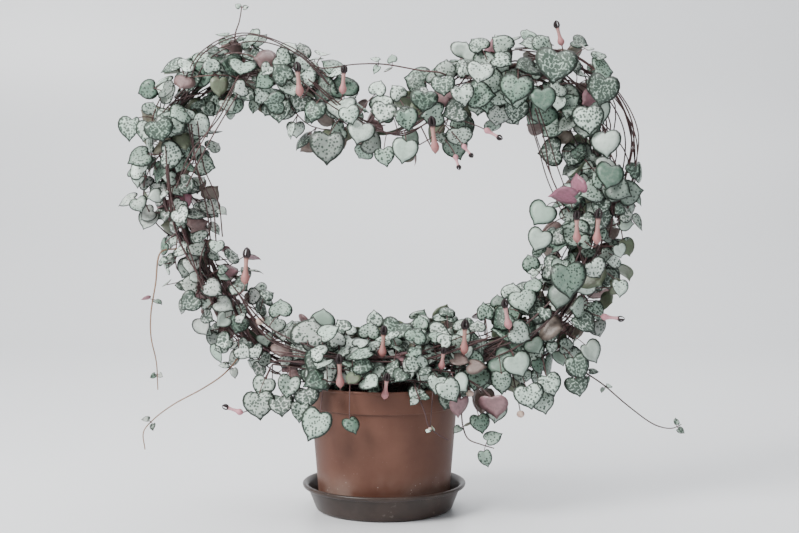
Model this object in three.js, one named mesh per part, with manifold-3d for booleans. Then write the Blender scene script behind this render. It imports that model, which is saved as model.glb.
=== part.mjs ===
// A string of hearts (Ceropegia woodii) trained round a heart-shaped wire hoop, in a nursery pot on a saucer.
// Millimetres, +Z up, the front towards -Y. The origin is the centre of the saucer's underside.
import * as THREE from "three";
import { mergeVertices } from "three/addons/utils/BufferGeometryUtils.js";
import Module from "manifold-3d";

const wasm = await Module();
wasm.setup();

// ---------------------------------------------------------------- driving dimensions
const SAUCER = { base: 54, wall: 62, lip: 66.5, height: 22.5, floor: 1.8, ribTop: 4 };
const POT = { foot: 4.3, height: 103, base: 50.6, rim: 60, band: 18, thick: 1.3, floor: 2 };
const SOIL = { edge: 90.5, crown: 93 };
const WIRE = { radius: 1.5, sides: 6, steps: 84 };
const OLD_STEM = { radius: 1.2, sides: 5, step: 14, depth: 10, spread: 7 };
const SHOOT = { radius: 0.9, sides: 4, step: 12, length: 100, pairs: 5, orbit: 10.2 };
const LEAF = { thick: 1, breadth: 1, stalk: 8, stalkWidth: 1.1 };
const ROUND = 40; // facets round the pot and the saucer
const GAP = 0.35; // left between pieces that touch
const TWIST = (2 * Math.PI) / 210; // the stems' turn round the hoop, radians for each millimetre

// The hoop's centre line in the X-Z plane: up out of the pot on the left, over both lobes, down on the right.
const HOOP_LINE = [
  [-17, 40], [-17, 90], [-18, 97], [-34, 116], [-88, 129], [-126, 163], [-151, 210], [-170, 262],
  [-163, 322], [-112, 357], [-60, 338], [-2, 303], [56, 334], [112, 354], [160, 326], [175, 266],
  [163, 205], [134, 152], [90, 128], [34, 116], [18, 97], [17, 90], [17, 40],
];

// ---------------------------------------------------------------- materials
const colour = (hex, roughness) => new THREE.MeshStandardMaterial({ color: hex, roughness, metalness: 0 });
const MATERIAL = {
  pot: colour(0x7a4f42, 0.5),
  saucer: colour(0x3f3430, 0.42),
  soil: colour(0x2b211b, 0.95),
  wire: colour(0x39452f, 0.4),
  stem: colour(0x6d4547, 0.6),
  leaf: colour(0xb9cdbf, 0.5),
  flower: colour(0xc68f8a, 0.5),
  tuber: colour(0xd9b9a6, 0.7),
};

// ---------------------------------------------------------------- solids and geometry
const UP = new THREE.Vector3(0, 0, 1);
const FRONT = new THREE.Vector3(0, -1, 0);

function solidOf(geometry) {
  const loose = geometry.index ? geometry.toNonIndexed() : geometry;
  const bare = new THREE.BufferGeometry().setAttribute("position", loose.getAttribute("position"));
  const merged = mergeVertices(bare, 1e-3);
  const triVerts = new Uint32Array(merged.index.array);
  const vertProperties = merged.attributes.position.array;
  return new wasm.Manifold(new wasm.Mesh({ numProp: 3, vertProperties, triVerts }));
}

function geometryOf(solid) {
  const mesh = solid.getMesh();
  const points = new Float32Array(mesh.numVert * 3);
  for (let i = 0; i < mesh.numVert; i++) {
    points.set(mesh.vertProperties.subarray(i * mesh.numProp, i * mesh.numProp + 3), i * 3);
  }
  const geometry = new THREE.BufferGeometry().setAttribute("position", new THREE.BufferAttribute(points, 3));
  return geometry.setIndex(new THREE.BufferAttribute(mesh.triVerts, 1));
}

// A solid of revolution about Z from a list of [radius, height].
function turned(profile, facets = ROUND) {
  const points = profile.map(([radius, height]) => new THREE.Vector2(radius, height));
  return new THREE.LatheGeometry(points, facets).rotateX(Math.PI / 2);
}

function tube(curve, radius, sides, steps) {
  const centre = new THREE.Vector2();
  const corner = (i) => new THREE.Vector2(radius, 0).rotateAround(centre, (2 * Math.PI * i) / sides);
  const section = new THREE.Shape(Array.from({ length: sides }, (_, i) => corner(i)));
  return new THREE.ExtrudeGeometry(section, { steps, bevelEnabled: false, extrudePath: curve });
}

function straightRod(from, to, radius, sides) {
  const rod = new THREE.CylinderGeometry(radius, radius, from.distanceTo(to), sides);
  const turn = new THREE.Quaternion().setFromUnitVectors(
    new THREE.Vector3(0, 1, 0),
    to.clone().sub(from).normalize(),
  );
  const middle = from.clone().add(to).multiplyScalar(0.5);
  return rod.applyMatrix4(new THREE.Matrix4().compose(middle, turn, new THREE.Vector3(1, 1, 1)));
}

// Even numbers from 0 to 1 that are the same on every run.
function seeded(seed) {
  let state = seed >>> 0;
  return () => {
    state = (state + 0x6d2b79f5) >>> 0;
    let t = Math.imul(state ^ (state >>> 15), 1 | state);
    t = (t + Math.imul(t ^ (t >>> 7), 61 | t)) ^ t;
    return ((t ^ (t >>> 14)) >>> 0) / 4294967296;
  };
}

// ---------------------------------------------------------------- what is already placed, and the room left
const placed = [];

function reach(solid) {
  const { min, max } = solid.boundingBox();
  return new THREE.Box3(new THREE.Vector3(...min), new THREE.Vector3(...max));
}

function place(name, solid, material) {
  const piece = { name, solid, material, box: reach(solid).expandByScalar(GAP) };
  placed.push(piece);
  return piece;
}

// Whether a solid is clear of every piece but its own, and of the leaves that its own piece has already.
function isClear(solid, own = null, ownLeaves = []) {
  const box = reach(solid);
  return placed.every((piece) => {
    if (piece === own || !piece.box.intersectsBox(box)) return true;
    return solid.minGap(piece.solid, GAP * 2) > GAP;
  }) && ownLeaves.every((leaf) => solid.minGap(leaf, GAP * 2) > GAP);
}

// Every stem placed so far, as points along it, so that later pieces can be joined to the nearest one.
const stems = [];

function placeStem(name, curve, { radius, sides }, steps, material) {
  stems.push(...curve.getSpacedPoints(steps * 2).map((point) => ({ point, radius })));
  return place(name, solidOf(tube(curve, radius, sides, steps)), material);
}

// Tries the nearest points on the stems in turn: build(contact) makes a piece that starts at contact, a point
// a little off the stem's surface, and the first piece that is clear of everything is kept.
function joinedToStem(target, distance, build) {
  const near = [...stems].sort((a, b) => a.point.distanceTo(target) - b.point.distanceTo(target));
  for (const { point, radius } of near.slice(0, 120)) {
    const away = target.clone().sub(point).normalize();
    const made = build(point.clone().addScaledVector(away, radius + distance));
    if (isClear(made.solid)) return made;
  }
  throw new Error("no stem could be reached");
}

// ---------------------------------------------------------------- saucer, pot and soil
// The saucer: a floor with two raised ribs, a sloping wall and a lip rolled outwards.
function makeSaucer() {
  const { base, wall, lip, height, floor, ribTop } = SAUCER;
  const inside = (z) => base - 1.5 + ((wall - base) * (z - floor)) / (height - 4 - floor);
  const profile = [
    [0, 0], [base, 0], [base + 1, 0.6], [wall, height - 4], [lip - 0.8, height - 4], [lip, height - 2.4],
    [lip - 1, height - 0.3], [lip - 3, height], [inside(height - 3), height - 2.2],
    [inside(floor + 0.6), floor + 0.6], [inside(floor) - 1.5, floor],
    [44.5, floor], [44, ribTop], [42, ribTop], [41.5, floor],
    [24.5, floor], [24, ribTop], [22, ribTop], [21.5, floor], [0, floor],
  ];
  place("saucer", solidOf(turned(profile)), MATERIAL.saucer);
}

function potWallRadius(z) {
  const { foot, height, base, rim, band } = POT;
  return THREE.MathUtils.mapLinear(z, foot + 3.5, height - band, base + 2, rim - 0.7);
}

// The pot: a tapered wall under a straight rim band with a thin bead, on a floor with six drain holes.
function makePot() {
  const { foot, height, base, rim, band, thick, floor } = POT;
  const bandBottom = height - band;
  const profile = [
    [0, foot + 0.8], [base - 4, foot + 0.8], [base - 3.5, foot], [base - 0.8, foot],
    [base + 1, foot + 1.2], [base + 2, foot + 3.5],
    [potWallRadius(bandBottom), bandBottom], [rim - 0.2, bandBottom + 0.8], [rim, height - 2.2],
    [rim + 0.6, height - 1.7], [rim + 0.6, height - 0.5], [rim, height], [rim - thick, height - 0.2],
    [rim - thick - 0.6, bandBottom], [potWallRadius(bandBottom) - thick - 0.4, bandBottom - 2],
    [base + 0.2, foot + floor + 2], [base - 1.5, foot + floor + 0.8], [0, foot + floor + 0.8],
  ];
  let pot = solidOf(turned(profile));
  const DRAINS = 6;
  for (let i = 0; i < DRAINS; i++) {
    const turn = (2 * Math.PI * i) / DRAINS;
    const hole = new THREE.CylinderGeometry(4, 4, 12, 8).rotateX(Math.PI / 2);
    pot = pot.subtract(solidOf(hole.translate(33 * Math.cos(turn), 33 * Math.sin(turn), foot + 1)));
  }
  place("pot", pot, MATERIAL.pot);
}

// The soil fills the pot to just under its rim, with a hole for every leg and stem that enters it. A hole is
// wider than what stands in it, because it runs straight where the stem bends.
function makeSoil(rooted) {
  const HOLE_MARGIN = 1.2;
  const { foot, floor, thick, band, height } = POT;
  const bottom = foot + floor + 1.2;
  const inner = (z) => potWallRadius(z) - thick - 1;
  const profile = [
    [0, bottom], [POT.base - 3, bottom], [inner(bottom + 6), bottom + 6],
    [inner(height - band - 4), height - band - 4], [inner(height - band - 4), SOIL.edge],
    [38, SOIL.crown - 0.6], [0, SOIL.crown],
  ];
  let soil = solidOf(turned(profile, 32));
  for (const { curve, radius, buried } of rooted) {
    const end = curve.getPointAt(0);
    const surface = curve.getPointAt(buried / curve.getLength());
    const down = end.clone().sub(surface).normalize();
    surface.addScaledVector(down, -5);
    end.addScaledVector(down, 1);
    soil = soil.subtract(solidOf(straightRod(surface, end, radius + HOLE_MARGIN, 8)));
  }
  place("soil", soil, MATERIAL.soil);
}

// ---------------------------------------------------------------- hoop
const hoop = new THREE.CatmullRomCurve3(
  HOOP_LINE.map(([x, z]) => new THREE.Vector3(x, 0, z)),
  false,
  "centripetal",
);
hoop.arcLengthDivisions = 600;
const HOOP_LENGTH = hoop.getLength();
const TO_DIP = HOOP_LENGTH / 2; // from the foot of either leg to the dip between the lobes

function reversed(curve) {
  return new THREE.CatmullRomCurve3([...curve.points].reverse(), false, "centripetal");
}

function makeHoop() {
  const { radius, sides, steps } = WIRE;
  place("heart_hoop", solidOf(tube(hoop, radius, sides, steps)), MATERIAL.wire);
}

// A place beside the hoop: s is the way along it from the foot of that side's leg, orbit the distance from
// the wire, and turn the angle round it, from outward towards the front.
function beside(side, s, orbit, turn) {
  const u = side === "left" ? s / HOOP_LENGTH : 1 - s / HOOP_LENGTH;
  const centre = hoop.getPointAt(u);
  const clockwise = hoop.getTangentAt(u);
  const outward = clockwise.clone().cross(new THREE.Vector3(0, 1, 0)).normalize();
  const radial = outward.multiplyScalar(Math.cos(turn)).addScaledVector(FRONT, Math.sin(turn));
  const along = side === "left" ? clockwise : clockwise.clone().negate();
  return { point: centre.addScaledVector(radial, orbit), radial, along };
}

// A stem that winds round the hoop from s = start to s = end, orbitAt(s) away from the wire.
function windingCurve(side, start, end, orbitAt, phase, step) {
  const count = Math.max(4, Math.round((end - start) / step));
  const points = Array.from({ length: count + 1 }, (_, i) => {
    const s = start + ((end - start) * i) / count;
    return beside(side, s, orbitAt(s), phase + TWIST * s).point;
  });
  return new THREE.CatmullRomCurve3(points, false, "centripetal");
}

// ---------------------------------------------------------------- old stems
// Three bare stems on each side rise from the soil round the hoop's leg and wind up the wire.
const OLD_STEMS = [
  { phase: 0.4, orbit: 4.6, short: 16 },
  { phase: 2.5, orbit: 6.2, short: 80 },
  { phase: 4.6, orbit: 5.4, short: 150 },
];

function oldStemCurve(side, { phase, orbit, short }) {
  const start = SOIL.crown - HOOP_LINE[0][1] - OLD_STEM.depth;
  const orbitAt = (s) => {
    const gathered = THREE.MathUtils.smoothstep(s, start + 16, 150);
    return THREE.MathUtils.lerp(OLD_STEM.spread, orbit, gathered);
  };
  return windingCurve(side, start, TO_DIP - short, orbitAt, phase, OLD_STEM.step);
}

// ---------------------------------------------------------------- leaves
// One heart-shaped leaf and its stalk, cut from a sheet: the stalk starts at the origin, the tip points along
// +Y and the upper side faces +Z.
function leafGeometry(length, stalk) {
  const width = length * LEAF.breadth;
  const half = LEAF.stalkWidth / 2;
  const blade = (x, y) => new THREE.Vector2(x * width, stalk + y * length);
  const outline = [
    new THREE.Vector2(-half, 0), new THREE.Vector2(half, 0), new THREE.Vector2(half, stalk + 0.03 * length),
    blade(0.3, -0.12), blade(0.5, 0.28), blade(0, 0.92), blade(-0.5, 0.28), blade(-0.3, -0.12),
    new THREE.Vector2(-half, stalk + 0.03 * length),
  ];
  const sheet = { depth: LEAF.thick, bevelEnabled: false };
  return new THREE.ExtrudeGeometry(new THREE.Shape(outline), sheet).translate(0, 0, -LEAF.thick / 2);
}

// A leaf that starts on the stem's axis, reaches out along direction and shows its upper side outwards.
function leafSolid(from, direction, out, length, stalk) {
  const facing = out.clone().multiplyScalar(0.9).addScaledVector(UP, 0.4).addScaledVector(FRONT, 0.3);
  facing.addScaledVector(direction, -facing.dot(direction)).normalize();
  const across = direction.clone().cross(facing);
  const pose = new THREE.Matrix4().makeBasis(across, direction, facing).setPosition(from);
  return solidOf(leafGeometry(length, stalk).applyMatrix4(pose));
}

// Grows opposite leaves on a stem's nodes and makes the stem and its leaves one solid. A leaf that meets
// another piece is tried at other angles, then smaller, then left out.
function grownWithLeaves(piece, nodes, chance) {
  let grown = piece.solid;
  const own = [];
  for (const { point, out, along, size } of nodes) {
    const sideways = along.clone().cross(out).normalize();
    for (const hand of [-1, 1]) {
      const lean = (chance() - 0.5) * 0.9;
      const tries = [
        [0.95, 1], [0.6, 1], [1.25, 1], [0.3, 1], [0.95, 0.8], [0.5, 0.8], [1.3, 0.8], [0.8, 0.65],
      ];
      const length = size * (0.85 + 0.3 * chance());
      for (const [splay, shrink] of tries) {
        const direction = out.clone().multiplyScalar(Math.cos(splay));
        direction.addScaledVector(sideways, hand * Math.sin(splay)).addScaledVector(along, lean).normalize();
        const leaf = leafSolid(point, direction, out, length * shrink, LEAF.stalk * (0.8 + 0.4 * chance()));
        if (isClear(leaf, piece, own)) {
          own.push(leaf);
          grown = grown.add(leaf);
          break;
        }
      }
    }
  }
  piece.solid = grown;
  piece.box = reach(grown).expandByScalar(GAP);
}

// ---------------------------------------------------------------- leafy shoots
// Ten leafy shoots on each side overlap like rope strands all the way up to the dip between the lobes.
const SHOOTS_A_SIDE = 10;
const FIRST_SHOOT = 74;
const SHOOT_SPACING = (TO_DIP - 12 - SHOOT.length - FIRST_SHOOT) / (SHOOTS_A_SIDE - 1);
const GOLDEN_ANGLE = 2.4;

function leafyShoot(side, index) {
  const start = FIRST_SHOOT + index * SHOOT_SPACING;
  const end = start + SHOOT.length;
  const phase = GOLDEN_ANGLE * index + (side === "left" ? 0.3 : 1.5);
  const curve = windingCurve(side, start, end, () => SHOOT.orbit, phase, SHOOT.step);
  const steps = Math.round(SHOOT.length / SHOOT.step);
  const name = `leafy_shoot_${side}_${String(index + 1).padStart(2, "0")}`;
  const piece = placeStem(name, curve, SHOOT, steps, MATERIAL.leaf);
  const chance = seeded(100 * index + (side === "left" ? 7 : 8));
  const nodes = Array.from({ length: SHOOT.pairs }, (_, i) => {
    const s = start + (SHOOT.length * (i + 0.5)) / SHOOT.pairs;
    const at = beside(side, s, SHOOT.orbit, phase + TWIST * s);
    return { point: at.point, out: at.radial, along: at.along, size: 17 + 6 * chance() };
  });
  return () => grownWithLeaves(piece, nodes, chance);
}

// ---------------------------------------------------------------- crown shoots
// Leafy shoots that run across the top of the pot, in front of the hoop's legs and behind them.
const CROWN = [
  [[-66, -19, 116], [-34, -17, 109], [0, -18, 112], [34, -18, 115], [66, -20, 118]],
  [[-60, -34, 106], [-24, -33, 104], [12, -34, 108], [58, -32, 112]],
  [[-46, -52, 110], [-14, -50, 107], [20, -50, 110], [50, -48, 106]],
  [[-64, 18, 112], [-26, 17, 107], [10, 18, 110], [62, 19, 116]],
  [[-50, 36, 107], [-10, 36, 105], [24, 37, 108], [52, 38, 112]],
];

function crownShoot(route, index) {
  const back = route[0][1] > 0;
  const aside = back ? FRONT.clone().negate() : FRONT;
  const curve = new THREE.CatmullRomCurve3(route.map((p) => new THREE.Vector3(...p)), false, "centripetal");
  const steps = Math.round(curve.getLength() / SHOOT.step);
  const piece = placeStem(`crown_shoot_${index + 1}`, curve, SHOOT, steps, MATERIAL.leaf);
  const chance = seeded(500 + index);
  const nodes = Array.from({ length: SHOOT.pairs + 1 }, (_, i) => {
    const share = (i + 0.5) / (SHOOT.pairs + 1);
    const along = curve.getTangentAt(share);
    const out = aside.clone().multiplyScalar(i % 2 ? 1 : 0.3).addScaledVector(UP, i % 2 ? 0.3 : 1);
    out.addScaledVector(along, -out.dot(along)).normalize();
    return { point: curve.getPointAt(share), out, along, size: 17 + 6 * chance() };
  });
  return () => grownWithLeaves(piece, nodes, chance);
}

// ---------------------------------------------------------------- trailing shoots
// Long young shoots that have left the hoop. Each starts at the nearest stem and runs through its points. Its
// leaves are [share, size]: a pair of that size at that share of its length.
const TRAILING = [
  { name: "trailing_shoot_left_upper", leaves: [[0.42, 8], [0.9, 6]],
    route: [[-180, -24, 209], [-186, -26, 184], [-191, -26, 160], [-190, -26, 142], [-184, -26, 122],
      [-182, -26, 100]] },
  { name: "trailing_shoot_left_lower", leaves: [[0.16, 9], [0.8, 7]],
    route: [[-126, -20, 113], [-142, -28, 102], [-166, -30, 89], [-182, -30, 77], [-190, -30, 67],
      [-189, -30, 53]] },
  { name: "trailing_shoot_right", leaves: [[0.28, 8], [0.94, 7]],
    route: [[160, 18, 112], [181, 24, 97], [202, 28, 79], [226, 32, 62], [240, 34, 59], [248, 35, 62]] },
  { name: "trailing_shoot_pot_front", leaves: [[0.3, 8], [0.72, 6]],
    route: [[25, -64, 106], [32, -68, 88], [35, -68, 78], [43, -68, 71], [50, -67, 67]] },
  { name: "trailing_shoot_pot_right", leaves: [[0.92, 21]],
    route: [[60, -46, 96], [62, -48, 74], [66, -50, 65], [76, -52, 61], [86, -52, 58]] },
  { name: "bridging_shoot", leaves: [[0.46, 9], [0.55, 8]],
    route: [[46, -18, 350], [30, -18, 352], [0, -18, 357], [-22, -18, 357], [-48, -18, 354],
      [-58, -18, 357]] },
  { name: "tip_shoot", leaves: [[0.3, 8]],
    route: [[-118, -12, 374], [-117, -13, 382], [-114, -13, 391], [-112, -12, 403]] },
];

function trailingShoot({ name, leaves, route }, index) {
  const points = route.map((p) => new THREE.Vector3(...p));
  const { curve, steps } = joinedToStem(points[0], SHOOT.radius + GAP + 0.1, (contact) => {
    const curve = new THREE.CatmullRomCurve3([contact, ...points], false, "centripetal");
    const steps = Math.max(6, Math.round(curve.getLength() / 9));
    return { curve, steps, solid: solidOf(tube(curve, SHOOT.radius, SHOOT.sides, steps)) };
  });
  const piece = placeStem(name, curve, SHOOT, steps, MATERIAL.stem);
  const nodes = leaves.map(([share, size], i) => {
    const along = curve.getTangentAt(share);
    const out = (i % 2 ? FRONT : UP).clone();
    out.addScaledVector(along, -out.dot(along)).normalize();
    return { point: curve.getPointAt(share), out, along, size };
  });
  return () => grownWithLeaves(piece, nodes, seeded(900 + index));
}

// ---------------------------------------------------------------- flowers and tubers
// A lantern flower: a swollen base, a narrow tube and five dark lobes joined at their tips.
const FLOWER_LENGTH = 27;
const FLOWER_PROFILE = [[0, 0], [2.9, 3.6], [2.4, 7], [1.3, 11], [1.4, 18], [2.7, 22.5], [0, FLOWER_LENGTH]];
const STALK = { radius: 0.6, sides: 4 };

// Each flower as [x, y, z] of its base, then [x, y, z] of the way that it points.
const FLOWERS = [
  [[-109, -26, 184], [0.05, 0, 1]], [[-65, -26, 331], [-0.1, 0, 1]], [[-32, -24, 332], [0.05, 0, 1]],
  [[40, -28, 287], [-0.15, 0, 1]], [[80, -22, 306], [0.9, -0.2, -0.4]], [[62, -20, 286], [0.6, -0.2, -0.7]],
  [[140, -20, 371], [-0.3, 0, 1]], [[166, -36, 216], [0, 0, 1]], [[150, -34, 219], [-0.05, 0, 1]],
  [[63, -38, 130], [0, 0, 1]], [[45, -44, 118], [0.1, -0.1, 1]], [[-1, -40, 127], [0.05, 0, 1]],
  [[-33, -56, 105], [-0.05, -0.1, 1]], [[-111, -30, 84], [-1, 0, 0.35]],
];

function makeFlower([base, [x, y, z]], index) {
  const direction = new THREE.Vector3(x, y, z).normalize();
  const turn = new THREE.Quaternion().setFromUnitVectors(UP, direction);
  const root = new THREE.Vector3(...base);
  const bloom = turned(FLOWER_PROFILE, 6).applyQuaternion(turn).translate(...base);
  const { solid } = joinedToStem(root, GAP + 0.1, (contact) => {
    const stalk = straightRod(contact, root.clone().addScaledVector(direction, 2), STALK.radius, STALK.sides);
    return { solid: solidOf(bloom).add(solidOf(stalk)) };
  });
  place(`flower_${String(index + 1).padStart(2, "0")}`, solid, MATERIAL.flower);
}

// Bead-like tubers that form at the stem joints.
const TUBERS = [[[67, -44, 100], 3], [[-88, -26, 104], 2.7], [[-98, -24, 155], 3.2]];

function makeTuber([centre, radius], index) {
  const middle = new THREE.Vector3(...centre);
  const bead = new THREE.SphereGeometry(radius, 7, 5).translate(...centre);
  const { solid } = joinedToStem(middle, GAP + 0.1, (contact) => ({
    solid: solidOf(bead).add(solidOf(straightRod(contact, middle, STALK.radius, STALK.sides))),
  }));
  place(`stem_tuber_${index + 1}`, solid, MATERIAL.tuber);
}

// ---------------------------------------------------------------- assembly
makeSaucer();
makePot();
makeHoop();
const legDepth = SOIL.crown - HOOP_LINE[0][1];
const rooted = [hoop, reversed(hoop)].map((curve) => ({ curve, radius: WIRE.radius, buried: legDepth }));
for (const side of ["left", "right"]) {
  OLD_STEMS.forEach((stem, i) => {
    const curve = oldStemCurve(side, stem);
    const steps = Math.round(curve.getLength() / OLD_STEM.step);
    placeStem(`old_stem_${side}_${i + 1}`, curve, OLD_STEM, steps, MATERIAL.stem);
    rooted.push({ curve, radius: OLD_STEM.radius, buried: OLD_STEM.depth });
  });
}
makeSoil(rooted);

const growths = [];
for (const side of ["left", "right"]) {
  for (let i = 0; i < SHOOTS_A_SIDE; i++) growths.push(leafyShoot(side, i));
}
growths.push(...CROWN.map(crownShoot));
growths.push(...TRAILING.map(trailingShoot));
FLOWERS.forEach(makeFlower);
TUBERS.forEach(makeTuber);
growths.reverse().forEach((grow) => grow());

const plant = new THREE.Group();
for (const { name, solid, material } of placed) {
  const mesh = new THREE.Mesh(geometryOf(solid), material);
  mesh.name = name;
  plant.add(mesh);
}

export default plant;
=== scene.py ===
from math import cos, hypot, pi, radians, sin

import bpy
import numpy as np
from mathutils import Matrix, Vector


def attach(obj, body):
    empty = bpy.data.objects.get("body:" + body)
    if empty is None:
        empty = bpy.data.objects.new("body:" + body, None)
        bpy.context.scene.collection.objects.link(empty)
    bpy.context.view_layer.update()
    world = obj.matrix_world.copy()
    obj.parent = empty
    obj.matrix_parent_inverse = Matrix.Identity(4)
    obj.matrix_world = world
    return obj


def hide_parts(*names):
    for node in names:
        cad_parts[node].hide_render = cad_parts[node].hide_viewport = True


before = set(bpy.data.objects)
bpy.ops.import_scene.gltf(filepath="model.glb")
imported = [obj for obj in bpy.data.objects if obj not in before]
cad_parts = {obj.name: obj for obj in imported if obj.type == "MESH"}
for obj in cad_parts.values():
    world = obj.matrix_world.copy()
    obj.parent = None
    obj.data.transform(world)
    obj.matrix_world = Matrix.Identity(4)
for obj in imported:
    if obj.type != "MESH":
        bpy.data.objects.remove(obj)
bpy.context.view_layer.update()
scene = bpy.context.scene


# ---------------------------------------------------------------- camera
# It stands a little over a metre in front of the plant, level with the heart's middle, and looks slightly
# down, along +Y.
CAMERA_PLACE, LOOKS_DOWN = (0.0125, -1.179, 0.267), 3.43
camera_data = bpy.data.cameras.new("camera")
camera_data.sensor_width = 36
camera_data.lens = 66
camera = bpy.data.objects.new("camera", camera_data)
camera.location = CAMERA_PLACE
camera.rotation_euler = (radians(90 - LOOKS_DOWN), 0, 0)
scene.collection.objects.link(camera)
scene.camera = camera


# ---------------------------------------------------------------- saucer
# The drip saucer: thin injection-moulded plastic, dark grey-brown, with a sloping wall, a lip rolled
# outwards that catches the light, and ribs on its floor that hold the pot clear of the water.
def rounded(corners, steps=5):
    """The closed or open outline through the corners (radius, height, fillet), each fillet an arc."""
    outline = []
    for i, (x, z, fillet) in enumerate(corners):
        here = Vector((x, z))
        if not fillet:
            outline.append(here)
            continue
        before = Vector(corners[i - 1][:2]) - here
        after = Vector(corners[(i + 1) % len(corners)][:2]) - here
        start = before.normalized() * min(fillet, before.length * 0.49)
        end = after.normalized() * min(fillet, after.length * 0.49)
        for step in range(steps + 1):
            t = step / steps
            outline.append(here + start * (1 - t) ** 2 + end * t**2)
    return outline


def new_piece(name, vertices, edges, faces):
    """An object at the origin, with a mesh of its own."""
    mesh = bpy.data.meshes.new(name)
    mesh.from_pydata([tuple(v) for v in vertices], edges, faces)
    piece = bpy.data.objects.new(name, mesh)
    scene.collection.objects.link(piece)
    return piece


def mesh_object(name, vertices, faces, sharp=None):
    """A smooth-shaded piece, with edges kept sharp past the angle in degrees."""
    piece = new_piece(name, vertices, [], faces)
    piece.data.shade_smooth()
    if sharp:
        piece.data.set_sharp_from_angle(angle=radians(sharp))
    return piece


def band(low, high):
    """The faces between two rings of vertex numbers, of which one may be a pole, a ring of one vertex."""
    faces = []
    for i in range(max(len(low), len(high))):
        j = i + 1
        corners = [low[i % len(low)], low[j % len(low)], high[j % len(high)], high[i % len(high)]]
        faces.append(tuple(dict.fromkeys(corners)))
    return faces


def turned(name, outline, facets=128, sharp=40):
    """A solid of revolution about Z, from an outline of (radius, height) with both ends on the axis."""
    vertices, rings = [], []
    for radius, height in outline:
        count = facets if radius > 1e-6 else 1
        rings.append(range(len(vertices), len(vertices) + count))
        angles = [2 * pi * i / count for i in range(count)]
        vertices += [(radius * cos(a), radius * sin(a), height) for a in angles]
    faces = [face for low, high in zip(rings, rings[1:]) for face in band(low, high)]
    return mesh_object(name, vertices, faces, sharp)


class Value:
    """A socket in a node tree. Arithmetic on it adds Math nodes, or Vector Math nodes for vectors."""

    def __init__(self, graph, socket):
        self.graph, self.socket = graph, socket

    def is_vector(self):
        return self.socket.type in ("VECTOR", "RGBA")

    def node(self, operation, *others):
        values = [self, *others]
        vectors = [isinstance(value, Value) and value.is_vector() for value in values]
        if operation == "MULTIPLY" and any(vectors) and not all(vectors):
            vector, number = (self, others[0]) if vectors[0] else (others[0], self)
            inputs = {0: vector, "Scale": number}
            return self.graph.add("ShaderNodeVectorMath", {"operation": "SCALE"}, inputs)[0]
        kind = "ShaderNodeVectorMath" if any(vectors) else "ShaderNodeMath"
        return self.graph.add(kind, {"operation": operation}, dict(enumerate(values)))[0]

    def __add__(self, other):
        return self.node("ADD", other)

    def __sub__(self, other):
        return self.node("SUBTRACT", other)

    def __mul__(self, other):
        return self.node("MULTIPLY", other)

    def __rsub__(self, other):
        return self * -1 + other

    __radd__ = __add__
    __rmul__ = __mul__

    def step(self, low, high):
        """0 below low and 1 above high, or the other way round where low is above high, with soft ends."""
        if low > high:
            return 1 - self.step(high, low)
        ramp = {"Value": self, "From Min": low, "From Max": high}
        return self.graph.add("ShaderNodeMapRange", {"interpolation_type": "SMOOTHSTEP"}, ramp)[0]


class Graph:
    """A node tree under construction."""

    def __init__(self, tree):
        self.tree = tree
        tree.nodes.clear()

    def add(self, kind, settings=None, inputs=None):
        """Adds a node and returns its output Values, by number or by name."""
        node = self.tree.nodes.new(kind)
        for setting, value in (settings or {}).items():
            if setting == "stops":
                ramp = node.color_ramp.elements
                for element, (position, colour) in zip([ramp[0], ramp[1]], value):
                    element.position, element.color = position, (*colour, 1)
                for position, colour in value[2:]:
                    ramp.new(position).color = (*colour, 1)
            else:
                setattr(node, setting, value)
        for name, value in (inputs or {}).items():
            socket = node.inputs[name]
            if isinstance(value, Value):
                self.tree.links.new(value.socket, socket)
            else:
                socket.default_value = value
        return Outputs(self, node)

    def blend(self, mask, first, second):
        """The first colour where the mask is 0 and the second where it is 1."""
        inputs = {0: mask, 6: wide(first), 7: wide(second)}
        return self.add("ShaderNodeMix", {"data_type": "RGBA"}, inputs)[2]


class Outputs:
    def __init__(self, graph, node):
        self.graph, self.node = graph, node

    def __getitem__(self, name):
        return Value(self.graph, self.node.outputs[name])


def wide(colour):
    """A colour as a socket takes it, with its alpha."""
    return colour if isinstance(colour, Value) else (*colour, 1)


def paint(hex_colour):
    """The linear colour of a printed one such as "7a4f42"."""
    parts = [int(hex_colour[i : i + 2], 16) / 255 for i in (0, 2, 4)]
    return tuple(c / 12.92 if c <= 0.04045 else ((c + 0.055) / 1.055) ** 2.4 for c in parts)


def new_material(name, make):
    """A material whose shader's sockets are what make(graph) returns."""
    material = bpy.data.materials.new(name)
    material.use_nodes = True
    graph = Graph(material.node_tree)
    surface = graph.add("ShaderNodeBsdfPrincipled", None, make(graph))
    graph.add("ShaderNodeOutputMaterial", None, {"Surface": surface["BSDF"]})
    return material


def object_place(graph):
    return graph.add("ShaderNodeTexCoord")["Object"]


def noise(graph, place, scale, detail=2.0, roughness=0.5):
    inputs = {"Vector": place, "Scale": scale, "Detail": detail, "Roughness": roughness}
    return graph.add("ShaderNodeTexNoise", None, inputs)[0]


def bump(graph, height, depth):
    inputs = {"Height": height, "Distance": depth, "Strength": 1.0}
    return graph.add("ShaderNodeBump", None, inputs)["Normal"]


def finish_piece(piece, slot, *nodes):
    """Rides a finished piece on the one body and hides the CAD nodes that it stands for. The slot is not
    used.
    """
    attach(piece, "root")
    if nodes:
        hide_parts(*nodes)


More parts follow.
